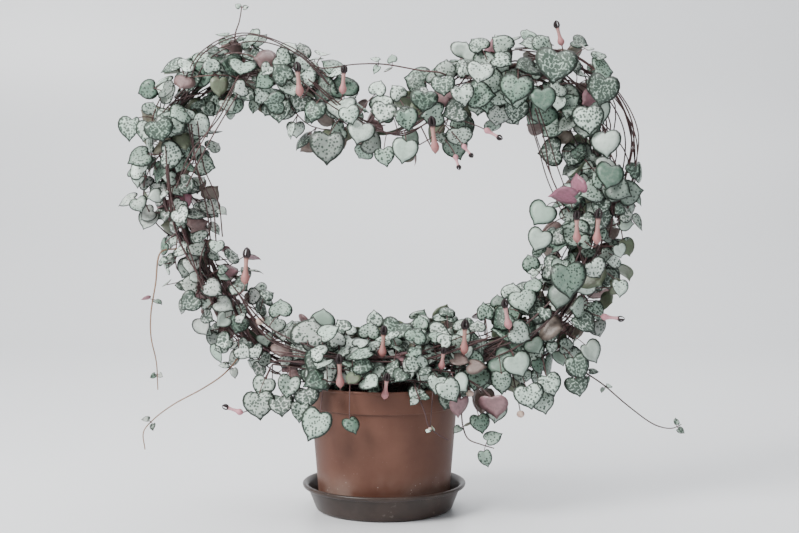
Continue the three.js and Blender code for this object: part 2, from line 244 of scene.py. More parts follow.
SAUCER_BASE, SAUCER_WALL, SAUCER_LIP, SAUCER_HEIGHT = 0.054, 0.062, 0.0665, 0.0225
SAUCER_FLOOR, SAUCER_RIB_TOP, SAUCER_RIBS = 0.0018, 0.004, (0.043, 0.033, 0.023, 0.013)
saucer_corners = [
    (0, 0, 0), (0.047, 0, 0.001), (0.048, 0.0006, 0.001), (SAUCER_BASE - 0.002, 0.0002, 0.001),
    (SAUCER_BASE + 0.001, 0.0006, 0.002), (SAUCER_WALL, 0.0183, 0.0012),
    (SAUCER_LIP - 0.0012, 0.0184, 0.0012), (SAUCER_LIP, 0.0212, 0.0022),
    (SAUCER_LIP - 0.0022, SAUCER_HEIGHT, 0.0022), (0.0612, 0.0203, 0.0016), (0.0533, SAUCER_FLOOR, 0.003),
]
for rib in SAUCER_RIBS:
    saucer_corners += [(rib + 0.0012, SAUCER_FLOOR, 0.0004), (rib + 0.0008, SAUCER_RIB_TOP, 0.0006),
                       (rib - 0.0008, SAUCER_RIB_TOP, 0.0006), (rib - 0.0012, SAUCER_FLOOR, 0.0004)]
saucer_corners.append((0, SAUCER_FLOOR, 0))
saucer = turned("drip_saucer", rounded(saucer_corners), facets=160, sharp=50)


def saucer_plastic(graph):
    place = object_place(graph)
    cloudy = noise(graph, place, 55, 3)
    water_marks = noise(graph, place, 240, 2).step(0.62, 0.74) * noise(graph, place, 30).step(0.45, 0.7)
    dark = graph.blend(cloudy.step(0.3, 0.7), paint("2e2420"), paint("3b2f2a"))
    return {
        "Base Color": graph.blend(water_marks * 0.35, dark, paint("8b827b")),
        "Roughness": 0.3 + cloudy * 0.12 + water_marks * 0.2,
        "Specular IOR Level": 0.35,
        "Normal": bump(graph, noise(graph, place, 900), 0.00004),
    }


saucer.data.materials.append(new_material("saucer_plastic", saucer_plastic))
finish_piece(saucer, "saucer", "saucer")


# ---------------------------------------------------------------- pot
# The nursery pot: thin brown polypropylene, injection moulded with a straight rim band that steps out from
# the tapered wall, a thin bead at the top and a rounded foot with drain holes. Hard water has left lime.
POT_FOOT, POT_TOP, POT_RIM, POT_BAND, POT_BASE = 0.0043, 0.103, 0.0611, 0.018, 0.0528
POT_WALL, POT_STEP, POT_WALL_START = 0.0012, 0.0021, 0.0078
band_bottom = POT_TOP - POT_BAND


def pot_radius(z):
    """The outside radius of the wall below the rim band."""
    return float(np.interp(z, [POT_WALL_START, band_bottom], [POT_BASE, POT_RIM - POT_STEP]))


pot_outline = rounded([
    (0, POT_FOOT + 0.0008, 0), (0.0465, POT_FOOT + 0.0008, 0.0006), (0.047, POT_FOOT, 0.0005),
    (0.0498, POT_FOOT, 0.0012), (POT_BASE, POT_WALL_START, 0.003), (pot_radius(0.046), 0.046, 0.004),
    (pot_radius(band_bottom) - 0.0001, band_bottom - 0.0006, 0.0003),
    (pot_radius(band_bottom) + 0.0001, band_bottom - 0.0001, 0),
    (POT_RIM - 0.0002, band_bottom + 0.0002, 0.0005),
    (POT_RIM, POT_TOP - 0.0021, 0.0004), (POT_RIM + 0.0006, POT_TOP - 0.0018, 0.0004),
    (POT_RIM + 0.0006, POT_TOP, 0.0007), (POT_RIM - POT_WALL, POT_TOP, 0.0006),
    (POT_RIM - POT_WALL - 0.0004, band_bottom + 0.001, 0.002),
    (pot_radius(band_bottom - 0.003) - POT_WALL, band_bottom - 0.003, 0.002),
    (POT_BASE - POT_WALL, 0.0095, 0.004), (0, POT_FOOT + 0.0024, 0),
])
pot = turned("nursery_pot", pot_outline, facets=192, sharp=40)
DRAIN_HOLES, DRAIN_RING, DRAIN_RADIUS, DRILL_LOW, DRILL_HIGH = 6, 0.033, 0.004, -0.002, 0.012
drill_outline = [(0, DRILL_LOW), (DRAIN_RADIUS, DRILL_LOW), (DRAIN_RADIUS, DRILL_HIGH), (0, DRILL_HIGH)]
drills = []
for i in range(DRAIN_HOLES):
    turn = 2 * pi * i / DRAIN_HOLES
    drill = turned(f"drill_{i}", drill_outline, 24)
    drill.location = (DRAIN_RING * cos(turn), DRAIN_RING * sin(turn), 0)
    cut = pot.modifiers.new("drain", "BOOLEAN")
    cut.object, cut.operation, cut.solver = drill, "DIFFERENCE", "EXACT"
    drills.append(drill)


def apply_modifiers(piece):
    """Turns what the modifiers make into the piece's own plain mesh."""
    bpy.context.view_layer.update()
    finished = piece.evaluated_get(bpy.context.evaluated_depsgraph_get())
    mesh = bpy.data.meshes.new_from_object(finished)
    piece.modifiers.clear()
    piece.data = mesh
    mesh.name = piece.name


apply_modifiers(pot)
for drill in drills:
    bpy.data.objects.remove(drill)


def pot_plastic(graph):
    place = object_place(graph)
    height = graph.add("ShaderNodeSeparateXYZ", None, {"Vector": place})["Z"]
    cloudy = noise(graph, place, 28, 4)
    fine = noise(graph, place, 420, 2)
    cells = {"Vector": place, "Scale": 330, "Randomness": 1.0}
    specks = graph.add("ShaderNodeTexVoronoi", None, cells)["Distance"]
    near_foot = height.step(0.042, 0.014)
    lime = specks.step(0.17, 0.06) * noise(graph, place, 75, 3).step(0.52, 0.6) * (near_foot * 0.8 + 0.05)
    film = noise(graph, place, 35, 3).step(0.4, 0.75) * near_foot * 0.18
    brown = graph.blend(cloudy.step(0.25, 0.8), paint("55372d"), paint("66463a"))
    return {
        "Base Color": graph.blend(lime + film, brown, paint("d6cdc4")),
        "Roughness": 0.44 + cloudy * 0.12 + lime * 0.3,
        "Specular IOR Level": 0.22,
        "Normal": bump(graph, fine + cloudy * 2, 0.00005),
    }


pot.data.materials.append(new_material("pot_plastic", pot_plastic))
finish_piece(pot, "pot", "pot")


# ---------------------------------------------------------------- compost
# The compost: dark crumbly peat, filled to just under the rim and slightly crowned, with loose crumbs on
# top. It is one lumpy solid that fills the pot.
SOIL_EDGE, SOIL_CROWN, SOIL_RADIUS, SOIL_BOTTOM, SOIL_FOOT_RADIUS = 0.0905, 0.0928, 0.0568, 0.0085, 0.0478


def soil_height(x, y):
    """The lumpy top of the compost."""
    lumps = 0.0008 * sin(310 * x + 1) * cos(270 * y) + 0.0005 * sin(520 * x - 410 * y)
    return SOIL_EDGE + (SOIL_CROWN - SOIL_EDGE) * (1 - (hypot(x, y) / SOIL_RADIUS) ** 2) + lumps


soil_rings, soil_facets, soil_inset = 26, 96, 0.97
soil_vertices = [(0, 0, SOIL_BOTTOM)]
soil_rows = []
for ring in range(soil_rings):
    share = ring / (soil_rings - 1)
    radius = SOIL_RADIUS * (1 - soil_inset * share)
    row = []
    for i in range(soil_facets):
        x, y = radius * cos(2 * pi * i / soil_facets), radius * sin(2 * pi * i / soil_facets)
        row.append(len(soil_vertices))
        soil_vertices.append((x, y, soil_height(x, y)))
    soil_rows.append(row)
bottom_row = []
for i in range(soil_facets):
    bottom_row.append(len(soil_vertices))
    turn = 2 * pi * i / soil_facets
    soil_vertices.append((SOIL_FOOT_RADIUS * cos(turn), SOIL_FOOT_RADIUS * sin(turn), SOIL_BOTTOM))
soil_vertices.append((0, 0, soil_height(0, 0)))
soil_faces = []
for low, high in zip([bottom_row, *soil_rows], soil_rows):
    soil_faces += band(low, high)
for i in range(soil_facets):
    j = (i + 1) % soil_facets
    soil_faces.append((0, bottom_row[j], bottom_row[i]))
    soil_faces.append((soil_rows[-1][i], soil_rows[-1][j], len(soil_vertices) - 1))
soil = mesh_object("compost", soil_vertices, soil_faces, 60)


def new_geometry_tree(name, inputs):
    """A geometry tree with a Geometry input and output and more inputs, given as {name: kind}."""
    tree = bpy.data.node_groups.new(name, "GeometryNodeTree")
    tree.interface.new_socket("Geometry", in_out="INPUT", socket_type="NodeSocketGeometry")
    tree.interface.new_socket("Geometry", in_out="OUTPUT", socket_type="NodeSocketGeometry")
    for socket_name, kind in inputs.items():
        tree.interface.new_socket(socket_name, in_out="INPUT", socket_type="NodeSocket" + kind)
    graph = Graph(tree)
    return graph, graph.add("NodeGroupInput")


def end_tree(graph, geometry, finish):
    """Ends a tree with its copies made real and its finish set."""
    whole = graph.add("GeometryNodeRealizeInstances", None, {"Geometry": geometry})[0]
    finished = graph.add("GeometryNodeSetMaterial", None, {"Geometry": whole, "Material": finish})[0]
    graph.add("NodeGroupOutput", None, {"Geometry": finished})


def run_tree(piece, graph, values):
    """Puts the tree on the piece with its inputs set, and turns the result into a plain mesh."""
    modifier = piece.modifiers.new(graph.tree.name, "NODES")
    modifier.node_group = graph.tree
    for socket in graph.tree.interface.items_tree:
        if socket.in_out == "INPUT" and socket.name in values:
            modifier[socket.identifier] = values[socket.name]
    apply_modifiers(piece)


def named(graph, name, kind="FLOAT"):
    """An attribute of the geometry, by its name."""
    node = graph.add("GeometryNodeInputNamedAttribute", {"data_type": kind}, {"Name": name})
    return node["Attribute"]


# Crumbs: small broken lumps scattered on the top face, turned and sized at random.
CRUMB_DENSITY, CRUMB_SMALLEST, CRUMB_LARGEST = 130000.0, 0.0006, 0.0019
crumb_tree, crumb_in = new_geometry_tree("crumbs", {
    "Count per square metre": "Float", "Smallest": "Float", "Largest": "Float", "Seed": "Int",
    "Finish": "Material"})
normal = crumb_tree.add("GeometryNodeInputNormal")[0]
facing_up = crumb_tree.add("ShaderNodeSeparateXYZ", None, {"Vector": normal})["Z"]
above = {"A": facing_up, "B": 0.8}
top_face = crumb_tree.add("FunctionNodeCompare", {"operation": "GREATER_THAN"}, above)["Result"]
spots = crumb_tree.add("GeometryNodeDistributePointsOnFaces", None, {
    "Mesh": crumb_in["Geometry"], "Selection": top_face, "Density": crumb_in["Count per square metre"],
    "Seed": crumb_in["Seed"]})["Points"]
lump = crumb_tree.add("GeometryNodeMeshIcoSphere", None, {"Radius": 1.0, "Subdivisions": 1})["Mesh"]


def at_random(lowest, highest):
    """For each crumb a random number, or a random vector where the limits are vectors."""
    kind, low, output = ("FLOAT_VECTOR", 0, 0) if isinstance(lowest, tuple) else ("FLOAT", 2, 1)
    limits = {low: lowest, low + 1: highest, "Seed": crumb_in["Seed"]}
    return crumb_tree.add("FunctionNodeRandomValue", {"data_type": kind}, limits)[output]


spin = at_random((0, 0, 0), (6.28, 6.28, 6.28))
girth = at_random(crumb_in["Smallest"], crumb_in["Largest"])
stretch = at_random((0.5, 0.6, 0.35), (1.3, 1.1, 0.7))
crumbs = crumb_tree.add("GeometryNodeInstanceOnPoints", None, {
    "Points": spots, "Instance": lump, "Rotation": spin, "Scale": stretch * girth})["Instances"]
joined = crumb_tree.add("GeometryNodeJoinGeometry")
for geometry in (crumb_in["Geometry"], crumbs):
    crumb_tree.tree.links.new(geometry.socket, joined.node.inputs[0])
end_tree(crumb_tree, joined[0], crumb_in["Finish"])


def peat(graph):
    place = object_place(graph)
    grain = noise(graph, place, 700, 4, 0.7)
    patches = noise(graph, place, 90, 3)
    dark = graph.blend(grain.step(0.35, 0.7), paint("1b130e"), paint("3c2d22"))
    return {
        "Base Color": graph.blend(patches.step(0.5, 0.75) * 0.6, dark, paint("4d3d30")),
        "Roughness": 0.95,
        "Normal": bump(graph, grain, 0.0006),
    }


soil_material = new_material("peat", peat)
run_tree(soil, crumb_tree, {
    "Count per square metre": CRUMB_DENSITY, "Smallest": CRUMB_SMALLEST, "Largest": CRUMB_LARGEST, "Seed": 4,
    "Finish": soil_material})
finish_piece(soil, "soil", "soil")


# ---------------------------------------------------------------- hoop
# The hoop: one length of steel wire with a thin dark green coating, bent into a heart, its two legs pushed
# down into the compost. The whole vine is wound round it. Its line is in millimetres.
HOOP_LINE = [
    (-17, 40), (-17, 90), (-18, 97), (-34, 116), (-88, 129), (-126, 163), (-151, 210), (-170, 262),
    (-163, 322), (-112, 357), (-60, 338), (-2, 303), (56, 334), (112, 354), (160, 326), (175, 266),
    (163, 205), (134, 152), (90, 128), (34, 116), (18, 97), (17, 90), (17, 40),
]
MM = 0.001


def smooth_line(points, per_span=16):
    """A smooth line through the points, as an array of places (a centripetal Catmull-Rom curve)."""
    p = [np.array(point, float) for point in points]
    p = [2 * p[0] - p[1], *p, 2 * p[-1] - p[-2]]
    line = []
    for a, b, c, d in zip(p, p[1:], p[2:], p[3:]):
        ab, bc, cd = (np.linalg.norm(v) ** 0.5 for v in (b - a, c - b, d - c))
        leave = ((b - a) / ab - (c - a) / (ab + bc) + (c - b) / bc) * bc
        arrive = ((c - b) / bc - (d - b) / (bc + cd) + (d - c) / cd) * bc
        for t in np.arange(per_span) / per_span:
            h = 2 * t**3 - 3 * t**2
            line.append((h + 1) * b - h * c + (t**3 - 2 * t**2 + t) * leave + (t**3 - t**2) * arrive)
    return np.array([*line, p[-2]])


def distances(line):
    """The way along a line to each of its points."""
    return np.concatenate([[0], np.cumsum(np.linalg.norm(np.diff(line, axis=0), axis=1))])


hoop_line = smooth_line([(x * MM, 0, z * MM) for x, z in HOOP_LINE], 40)
hoop_way = distances(hoop_line)
hoop_length = hoop_way[-1]
hoop_heading = np.gradient(hoop_line, hoop_way, axis=0)
to_dip = hoop_length / 2


def along_line(line, way, s):
    """The places on a line at the distances s along it."""
    return np.stack([np.interp(s, way, line[:, i]) for i in range(3)], axis=-1)


def unit(vectors):
    return vectors / np.linalg.norm(vectors, axis=-1, keepdims=True)


def beside(side, s, orbit, turn):
    """Places beside the hoop, a distance s from the foot of that side's leg. The orbit is the distance from
    the wire, and turn the angle round it, from outward towards the front. Also the radial and the onward
    direction."""
    at = s if side == "left" else hoop_length - s
    heading = unit(along_line(hoop_heading, hoop_way, at))
    outward = np.stack([-heading[..., 2], 0 * heading[..., 0], heading[..., 0]], axis=-1)
    front = np.array([0.0, -1.0, 0.0])
    cosine, sine = np.cos(turn)[..., None], np.sin(turn)[..., None]
    radial = outward * cosine + front * sine
    place = along_line(hoop_line, hoop_way, at) + radial * np.asarray(orbit)[..., None]
    return place, radial, heading if side == "left" else -heading


# Everything thin and round, from the wire to the leaf stalks, is a tube along a path. Each path's points
# carry their own thickness and their age, which sets the colour: 0 is young and green, 1 is old and tan.
tube_tree, tube_in = new_geometry_tree("tubes", {"Sides": "Int", "Finish": "Material"})
paths = tube_tree.add("GeometryNodeMeshToCurve", None, {"Mesh": tube_in["Geometry"]})[0]
ring = tube_tree.add("GeometryNodeCurvePrimitiveCircle", {"mode": "RADIUS"}, {
    "Resolution": tube_in["Sides"], "Radius": 1.0})[0]
tubes = tube_tree.add("GeometryNodeCurveToMesh", None, {
    "Curve": paths, "Profile Curve": ring, "Scale": named(tube_tree, "thickness"), "Fill Caps": True})[0]
smooth = tube_tree.add("GeometryNodeSetShadeSmooth", None, {"Geometry": tubes, "Shade Smooth": True})[0]
end_tree(tube_tree, smooth, tube_in["Finish"])


def store(mesh, name, kind, values):
    """Writes one value for each vertex into a new attribute of the mesh."""
    attribute = mesh.attributes.new(name, kind, "POINT")
    field = "vector" if kind == "FLOAT_VECTOR" else "value"
    attribute.data.foreach_set(field, np.asarray(values, np.float32).ravel())


def tube_piece(name, paths, sides, material):
    """One mesh of tubes along paths, each a (points, thicknesses, age)."""
    vertices, edges, thickness, ages = [], [], [], []
    for points, widths, age in paths:
        first = len(vertices)
        vertices += list(points)
        edges += [(first + i, first + i + 1) for i in range(len(points) - 1)]
        thickness += list(np.broadcast_to(widths, len(points)) / 2)
        ages += [age] * len(points)
    piece = new_piece(name, vertices, edges, [])
    store(piece.data, "thickness", "FLOAT", thickness)
    store(piece.data, "age", "FLOAT", ages)
    run_tree(piece, tube_tree, {"Sides": sides, "Finish": material})
    return piece


def coated_wire(graph):
    place = object_place(graph)
    wear = noise(graph, place, 260, 4).step(0.55, 0.72)
    return {
        "Base Color": graph.blend(wear * 0.5, paint("2c3827"), paint("5c6350")),
        "Roughness": 0.38 + wear * 0.25,
        "Normal": bump(graph, noise(graph, place, 500), 0.00006),
    }


WIRE_THICK = 0.003
wire_material = new_material("coated_wire", coated_wire)
wire = tube_piece("hoop_wire", [(hoop_line[::3], WIRE_THICK, 1)], 16, wire_material)
finish_piece(wire, "wire", "heart_hoop")


# ---------------------------------------------------------------- old strands
# The oldest growth: wiry bare strands that rise from the compost beside each leg and wind round the hoop up
# to the dip. They lie loose on each other. Each turns once round the wire in 21 cm, a golden angle apart.
TWIST = 2 * pi / 0.21
GOLDEN = 2.4
# Where the wire leaves the compost and how deep the old strands start. How far short of the dip each one
# ends, their distance from the wire and its growth from each to the next, and their thickness at both ends.
SOIL_WAY, OLD_ROOTED = 0.053, 0.012
OLD_SHORT = (0.012, 0.03, 0.07, 0.02, 0.11, 0.05, 0.15, 0.04, 0.09, 0.19, 0.06)
OLD_ORBIT, OLD_ORBIT_STEP, OLD_THICK = 0.0032, 0.00062, (0.0021, 0.0013)


def wander(rng, size, waves=(0.19, 0.11, 0.06)):
    """A smooth random change along a strand: a function of the way along it."""
    parts = [(size / (i + 1), 2 * pi / wave, rng.uniform(0, 2 * pi)) for i, wave in enumerate(waves)]
    return lambda s: sum(a * np.sin(k * s + f) for a, k, f in parts)


def wound(side, start, end, orbit, phase, rng, loose=0.003, step=0.007):
    """A strand wound round the hoop: its way along it, places, and radial and onward directions."""
    s = np.linspace(start, end, max(6, int((end - start) / step)))
    orbits = np.maximum(orbit + wander(rng, loose)(s), 0.0026)
    turns = phase + TWIST * s + wander(rng, 0.35)(s)
    place, radial, onward = beside(side, s, orbits, turns)
    return s, place, radial, onward


def carried(graph, name, output="Fac"):
    """What a piece's mesh carries at each point, by the attribute's name."""
    return graph.add("ShaderNodeAttribute", {"attribute_name": name})[output]


def strand_skin(graph):
    """Young shoots are pinkish green, older ones purple-brown, the oldest tan with a dry rind."""
    place = object_place(graph)
    blotches = noise(graph, place, 130, 3)
    shift = carried(graph, "age") + (blotches - 0.5) * 0.35
    skin = graph.add("ShaderNodeValToRGB", {"stops": [
        (0.0, paint("6d6a4e")), (1.0, paint("8a6c56")), (0.22, paint("553a39")), (0.5, paint("3f2828")),
        (0.78, paint("33201f"))]}, {"Fac": shift})["Color"]
    return {
        "Base Color": skin,
        "Roughness": 0.55,
        "Normal": bump(graph, noise(graph, place, 1400, 2), 0.00008),
    }


strand_material = new_material("strand_skin", strand_skin)
for side in ("left", "right"):
    rng = np.random.default_rng(31 if side == "left" else 32)
    paths = []
    for i, short in enumerate(OLD_SHORT):
        orbit = OLD_ORBIT + OLD_ORBIT_STEP * i
        start, end = SOIL_WAY - OLD_ROOTED, to_dip - short
        place = wound(side, start, end, orbit, GOLDEN * i, rng, 0.0016)[1]
        widths = np.linspace(*OLD_THICK, len(place)) * rng.uniform(0.8, 1.1)
        paths.append((place, widths, rng.uniform(0.45, 0.85)))
    strands = tube_piece(f"old_strands_{side}", paths, 6, strand_material)
    finish_piece(strands, "stem", *[f"old_stem_{side}_{i}" for i in (1, 2, 3)])


# ---------------------------------------------------------------- flowers
# The lantern flowers: a swollen base, a narrow tube that flares a little, and five maroon-black lobes that
# stay joined at their tips like a cage. Each stands on a thin curved stalk from a strand.
FLOWER_LENGTH, FLOWER_GIRTH, CAD_FLOWERS = 0.027, 1.1, 14
# Height up the flower as a share of its length, and radius in millimetres.
FLOWER_RINGS = [(0.0, 0.5), (0.03, 1.4), (0.08, 2.5), (0.15, 3.1), (0.22, 2.9), (0.3, 2.1), (0.38, 1.6),
                (0.52, 1.4), (0.66, 1.6), (0.73, 2.0), (0.77, 2.3)]
FLOWER_SIDES = 10
# Base in millimetres and pointing direction of each flower, then its share of the full length and paleness.
FLOWERS = [
    ((-109, -30, 184), (0.05, 0, 1), 1.08, 0.1), ((-65, -30, 331), (-0.1, -0.1, 1), 1.0, 0.2),
    ((-32, -26, 333), (0.05, -0.1, 1), 0.85, 0.3), ((41, -30, 287), (-0.15, -0.1, 1), 1.08, 0.2),
    ((79, -24, 306), (0.85, -0.2, -0.5), 0.62, 0.8), ((62, -24, 294), (0.6, -0.2, -0.8), 0.5, 0.9),
    ((56, -24, 286), (0.25, -0.3, -0.9), 0.5, 0.8),
    ((140, -22, 371), (-0.3, -0.1, 1), 0.75, 0.3), ((166, -40, 216), (0.02, -0.1, 1), 1.05, 0.2),
    ((151, -38, 217), (-0.05, -0.1, 1), 0.95, 0.2), ((63, -42, 130), (0, -0.1, 1), 1.05, 0.1),
    ((45, -48, 119), (0.1, -0.2, 1), 0.7, 0.3), ((-1, -44, 128), (0.05, -0.1, 1), 0.95, 0.1),
    ((-33, -57, 106), (-0.05, -0.1, 1), 1.0, 0.2), ((-111, -30, 82), (-1, 0, 0.35), 0.65, 0.9),
    ((172, -22, 158), (1, -0.1, -0.1), 0.7, 0.9), ((98, -42, 150), (-0.2, -0.1, 1), 0.9, 0.5),
    ((1, -62, 98), (0.1, -0.2, 1), 0.8, 0.4), ((120, 28, 120), (0.3, 0.2, 1), 1.0, 0.2),
    ((-120, 26, 330), (-0.2, 0.2, 1), 1.0, 0.2), ((40, 44, 112), (0.1, 0.3, 1), 1.0, 0.2),
]


flower_vertices = []
for height, radius in FLOWER_RINGS:
    for i in range(FLOWER_SIDES):
        turn, share = -2 * pi * i / FLOWER_SIDES, radius * MM / FLOWER_LENGTH
        flower_vertices.append((share * cos(turn), height, share * sin(turn)))


def sleeve(first, around, count):
    """The faces of a closed sleeve of count rings of vertices, numbered on from first."""
    rings = [range(first + around * i, first + around * (i + 1)) for i in range(count)]
    sides = [face for low, high in zip(rings, rings[1:]) for face in band(low, high)]
    return [*sides, tuple(reversed(rings[0])), tuple(rings[-1])]


flower_faces = sleeve(0, FLOWER_SIDES, len(FLOWER_RINGS))
# The cage: five folded lobes that arch up from the tube's mouth and meet at the top. Each ring of a lobe has
# its height up the flower, and its distance from the flower's axis and half width in millimetres.
CAGE = [(0.74, 2.0, 0.95), (0.81, 2.45, 0.85), (0.89, 2.3, 0.75), (0.96, 1.6, 0.65), (1.01, 0.35, 0.4)]
LOBES, LOBE_SIDES = 5, 4
for lobe in range(LOBES):
    turn = 2 * pi * lobe / LOBES
    first = len(flower_vertices)
    for height, radius, half in CAGE:
        for offset, swell in ((-half, 1), (0, 1.25), (half, 1), (0, 0.7)):
            across, out = offset * MM / FLOWER_LENGTH, radius * swell * MM / FLOWER_LENGTH
            x, z = out * cos(turn) + across * sin(turn), out * sin(turn) - across * cos(turn)
            flower_vertices.append((x, height, z))
    flower_faces += sleeve(first, LOBE_SIDES, len(CAGE))
flower_shape = mesh_object("flower_shape", flower_vertices, flower_faces)
store(flower_shape.data, "height", "FLOAT", [place[1] for place in flower_vertices])

# The same tree places flowers and leaves: a shape stands on each point, and each point says how the shape
# lies (along, across and facing) and how it is bent. The shape itself is about one unit long.
placing_tree, placing_in = new_geometry_tree("placing", {"Shape": "Object", "Finish": "Material"})
shape = placing_tree.add("GeometryNodeObjectInfo", None, {"Object": placing_in["Shape"]})["Geometry"]
copies = placing_tree.add("GeometryNodeInstanceOnPoints", None, {
    "Points": placing_in["Geometry"], "Instance": shape})["Instances"]
whole = placing_tree.add("GeometryNodeRealizeInstances", None, {"Geometry": copies})[0]
root, along, across, facing = (named(placing_tree, name, "FLOAT_VECTOR") for name in (
    "root", "along", "across", "facing"))
size, width, depth, cup, fold, droop, tone = (named(placing_tree, name) for name in (
    "size", "width", "depth", "cup", "fold", "droop", "tone"))
local = placing_tree.add("GeometryNodeInputPosition")[0] - root
parts = placing_tree.add("ShaderNodeSeparateXYZ", None, {"Vector": local})
x, y, z = parts["X"], parts["Y"], parts["Z"]
raised = cup * (x * x + (y - 0.4) * (y - 0.4)) + fold * x.node("ABSOLUTE") - droop * y * y
place = root + across * (x * width * size) + along * (y * size) + facing * (z * depth + raised * size)
# The pattern's own coordinates, in millimetres on the shape, start elsewhere on every copy.
drawn = placing_tree.add("ShaderNodeCombineXYZ", None, {
    "X": x * width * size * 1000, "Y": y * size * 1000, "Z": tone * 900})[0]
marked = placing_tree.add("GeometryNodeStoreNamedAttribute", {"data_type": "FLOAT_VECTOR"}, {
    "Geometry": whole, "Name": "pattern", "Value": drawn})[0]
moved = placing_tree.add("GeometryNodeSetPosition", None, {"Geometry": marked, "Position": place})[0]
smooth = placing_tree.add("GeometryNodeSetShadeSmooth", None, {"Geometry": moved, "Shade Smooth": True})[0]
end_tree(placing_tree, smooth, placing_in["Finish"])
VECTORS = ("root", "along", "across", "facing")


def placed_piece(name, shape, material, rows):
    """One mesh of copies of a shape, one for each row of attribute values."""
    piece = new_piece(name, [row["root"] for row in rows], [], [])
    for key in rows[0]:
        store(piece.data, key, "FLOAT_VECTOR" if key in VECTORS else "FLOAT", [row[key] for row in rows])
    run_tree(piece, placing_tree, {"Shape": shape, "Finish": material})
    return piece


def project(vector, normal):
    """The part of a vector that is square to a unit normal, as a unit vector."""
    return unit(vector - normal * np.dot(vector, normal))


def petals_and_tube(graph):
    """Dusky pink with darker veins below, paler up the tube, and a maroon-black cage."""
    height, pale = carried(graph, "height"), carried(graph, "pale")
    flecks = noise(graph, carried(graph, "pattern", "Vector"), 1.1, 3)
    pink = graph.blend(pale, paint("98655e"), paint("c78b97"))
    tube = graph.blend(height.step(0.2, 0.6), pink, graph.blend(pale, paint("a1796c"), paint("cb9aa2")))
    shaded = graph.blend(flecks.step(0.5, 0.8) * 0.45, tube, paint("74423f"))
    dark = (height + (flecks - 0.5) * 0.06).step(0.67, 0.74)
    return {
        "Base Color": graph.blend(dark, shaded, paint("1f0e13")),
        "Roughness": 0.55 + dark * 0.1,
        "Normal": bump(graph, flecks, 0.0001),
    }


flower_rows = []
for base, heading, share, paleness in FLOWERS:
    along_flower = unit(np.array(heading, float))
    outward = project(np.array([0.3, -1.0, 0.0]), along_flower)
    length = FLOWER_LENGTH * share
    flower_rows.append({
        "root": np.array(base) * MM, "along": along_flower, "facing": outward,
        "across": np.cross(along_flower, outward), "size": length, "width": FLOWER_GIRTH / share**0.4,
        "depth": FLOWER_GIRTH * length / share**0.4, "cup": 0.0, "fold": 0.0, "droop": -0.06,
        "tone": 0.05 * len(flower_rows), "pale": paleness})
flower_material = new_material("flower_skin", petals_and_tube)
flowers = placed_piece("lantern_flowers", flower_shape, flower_material, flower_rows)
bpy.data.objects.remove(flower_shape)
finish_piece(flowers, "flower", *[f"flower_{i + 1:02d}" for i in range(CAD_FLOWERS)])


# ---------------------------------------------------------------- leaves
# Fleshy heart-shaped leaves, about a millimetre thick, in opposite pairs on thin stalks. Above they are dark
# green, washed with silver except for small spots, and edged with a dark line. Below they are grey-green to
# mauve. They turn their upper sides outwards and to the light.
BLADE_HALF = [(0.1, -0.06), (0.25, -0.11), (0.41, -0.08), (0.525, 0.04), (0.57, 0.2), (0.545, 0.38),
              (0.45, 0.55), (0.3, 0.69), (0.12, 0.8)]
BLADE_TIP, BLADE_HEART, BLADE_DEPTH = 0.93, (0, 0.34), 0.0012
blade_rim = [(0, 0), *BLADE_HALF, (0, BLADE_TIP), *[(-x, y) for x, y in reversed(BLADE_HALF)]]


def blade_mesh():
    """The leaf's blade, one length long: two domed faces that meet at the rim."""
    count, inner = len(blade_rim), 0.58
    vertices = [(*BLADE_HEART, 0.5), (*BLADE_HEART, -0.5)]
    for level in (0.42, -0.42):
        for x, y in blade_rim:
            vertices.append((x * inner, BLADE_HEART[1] + (y - BLADE_HEART[1]) * inner, level))
    vertices += [(x, y, 0) for x, y in blade_rim]
    faces, below = [], []
    for centre, ring, under in ((0, 2, False), (1, 2 + count, True)):
        for i in range(count):
            j, edge = (i + 1) % count, 2 + 2 * count
            for face in ((centre, ring + i, ring + j), (ring + i, edge + i, edge + j, ring + j)):
                faces.append(face[::-1] if under else face)
                below.append(float(under))
    blade = mesh_object("blade_shape", vertices, faces)
    store(blade.data, "rim", "FLOAT", [0, 0] + [inner] * 2 * count + [1] * count)
    attribute = blade.data.attributes.new("below", "FLOAT", "FACE")
    attribute.data.foreach_set("value", below)
    return blade


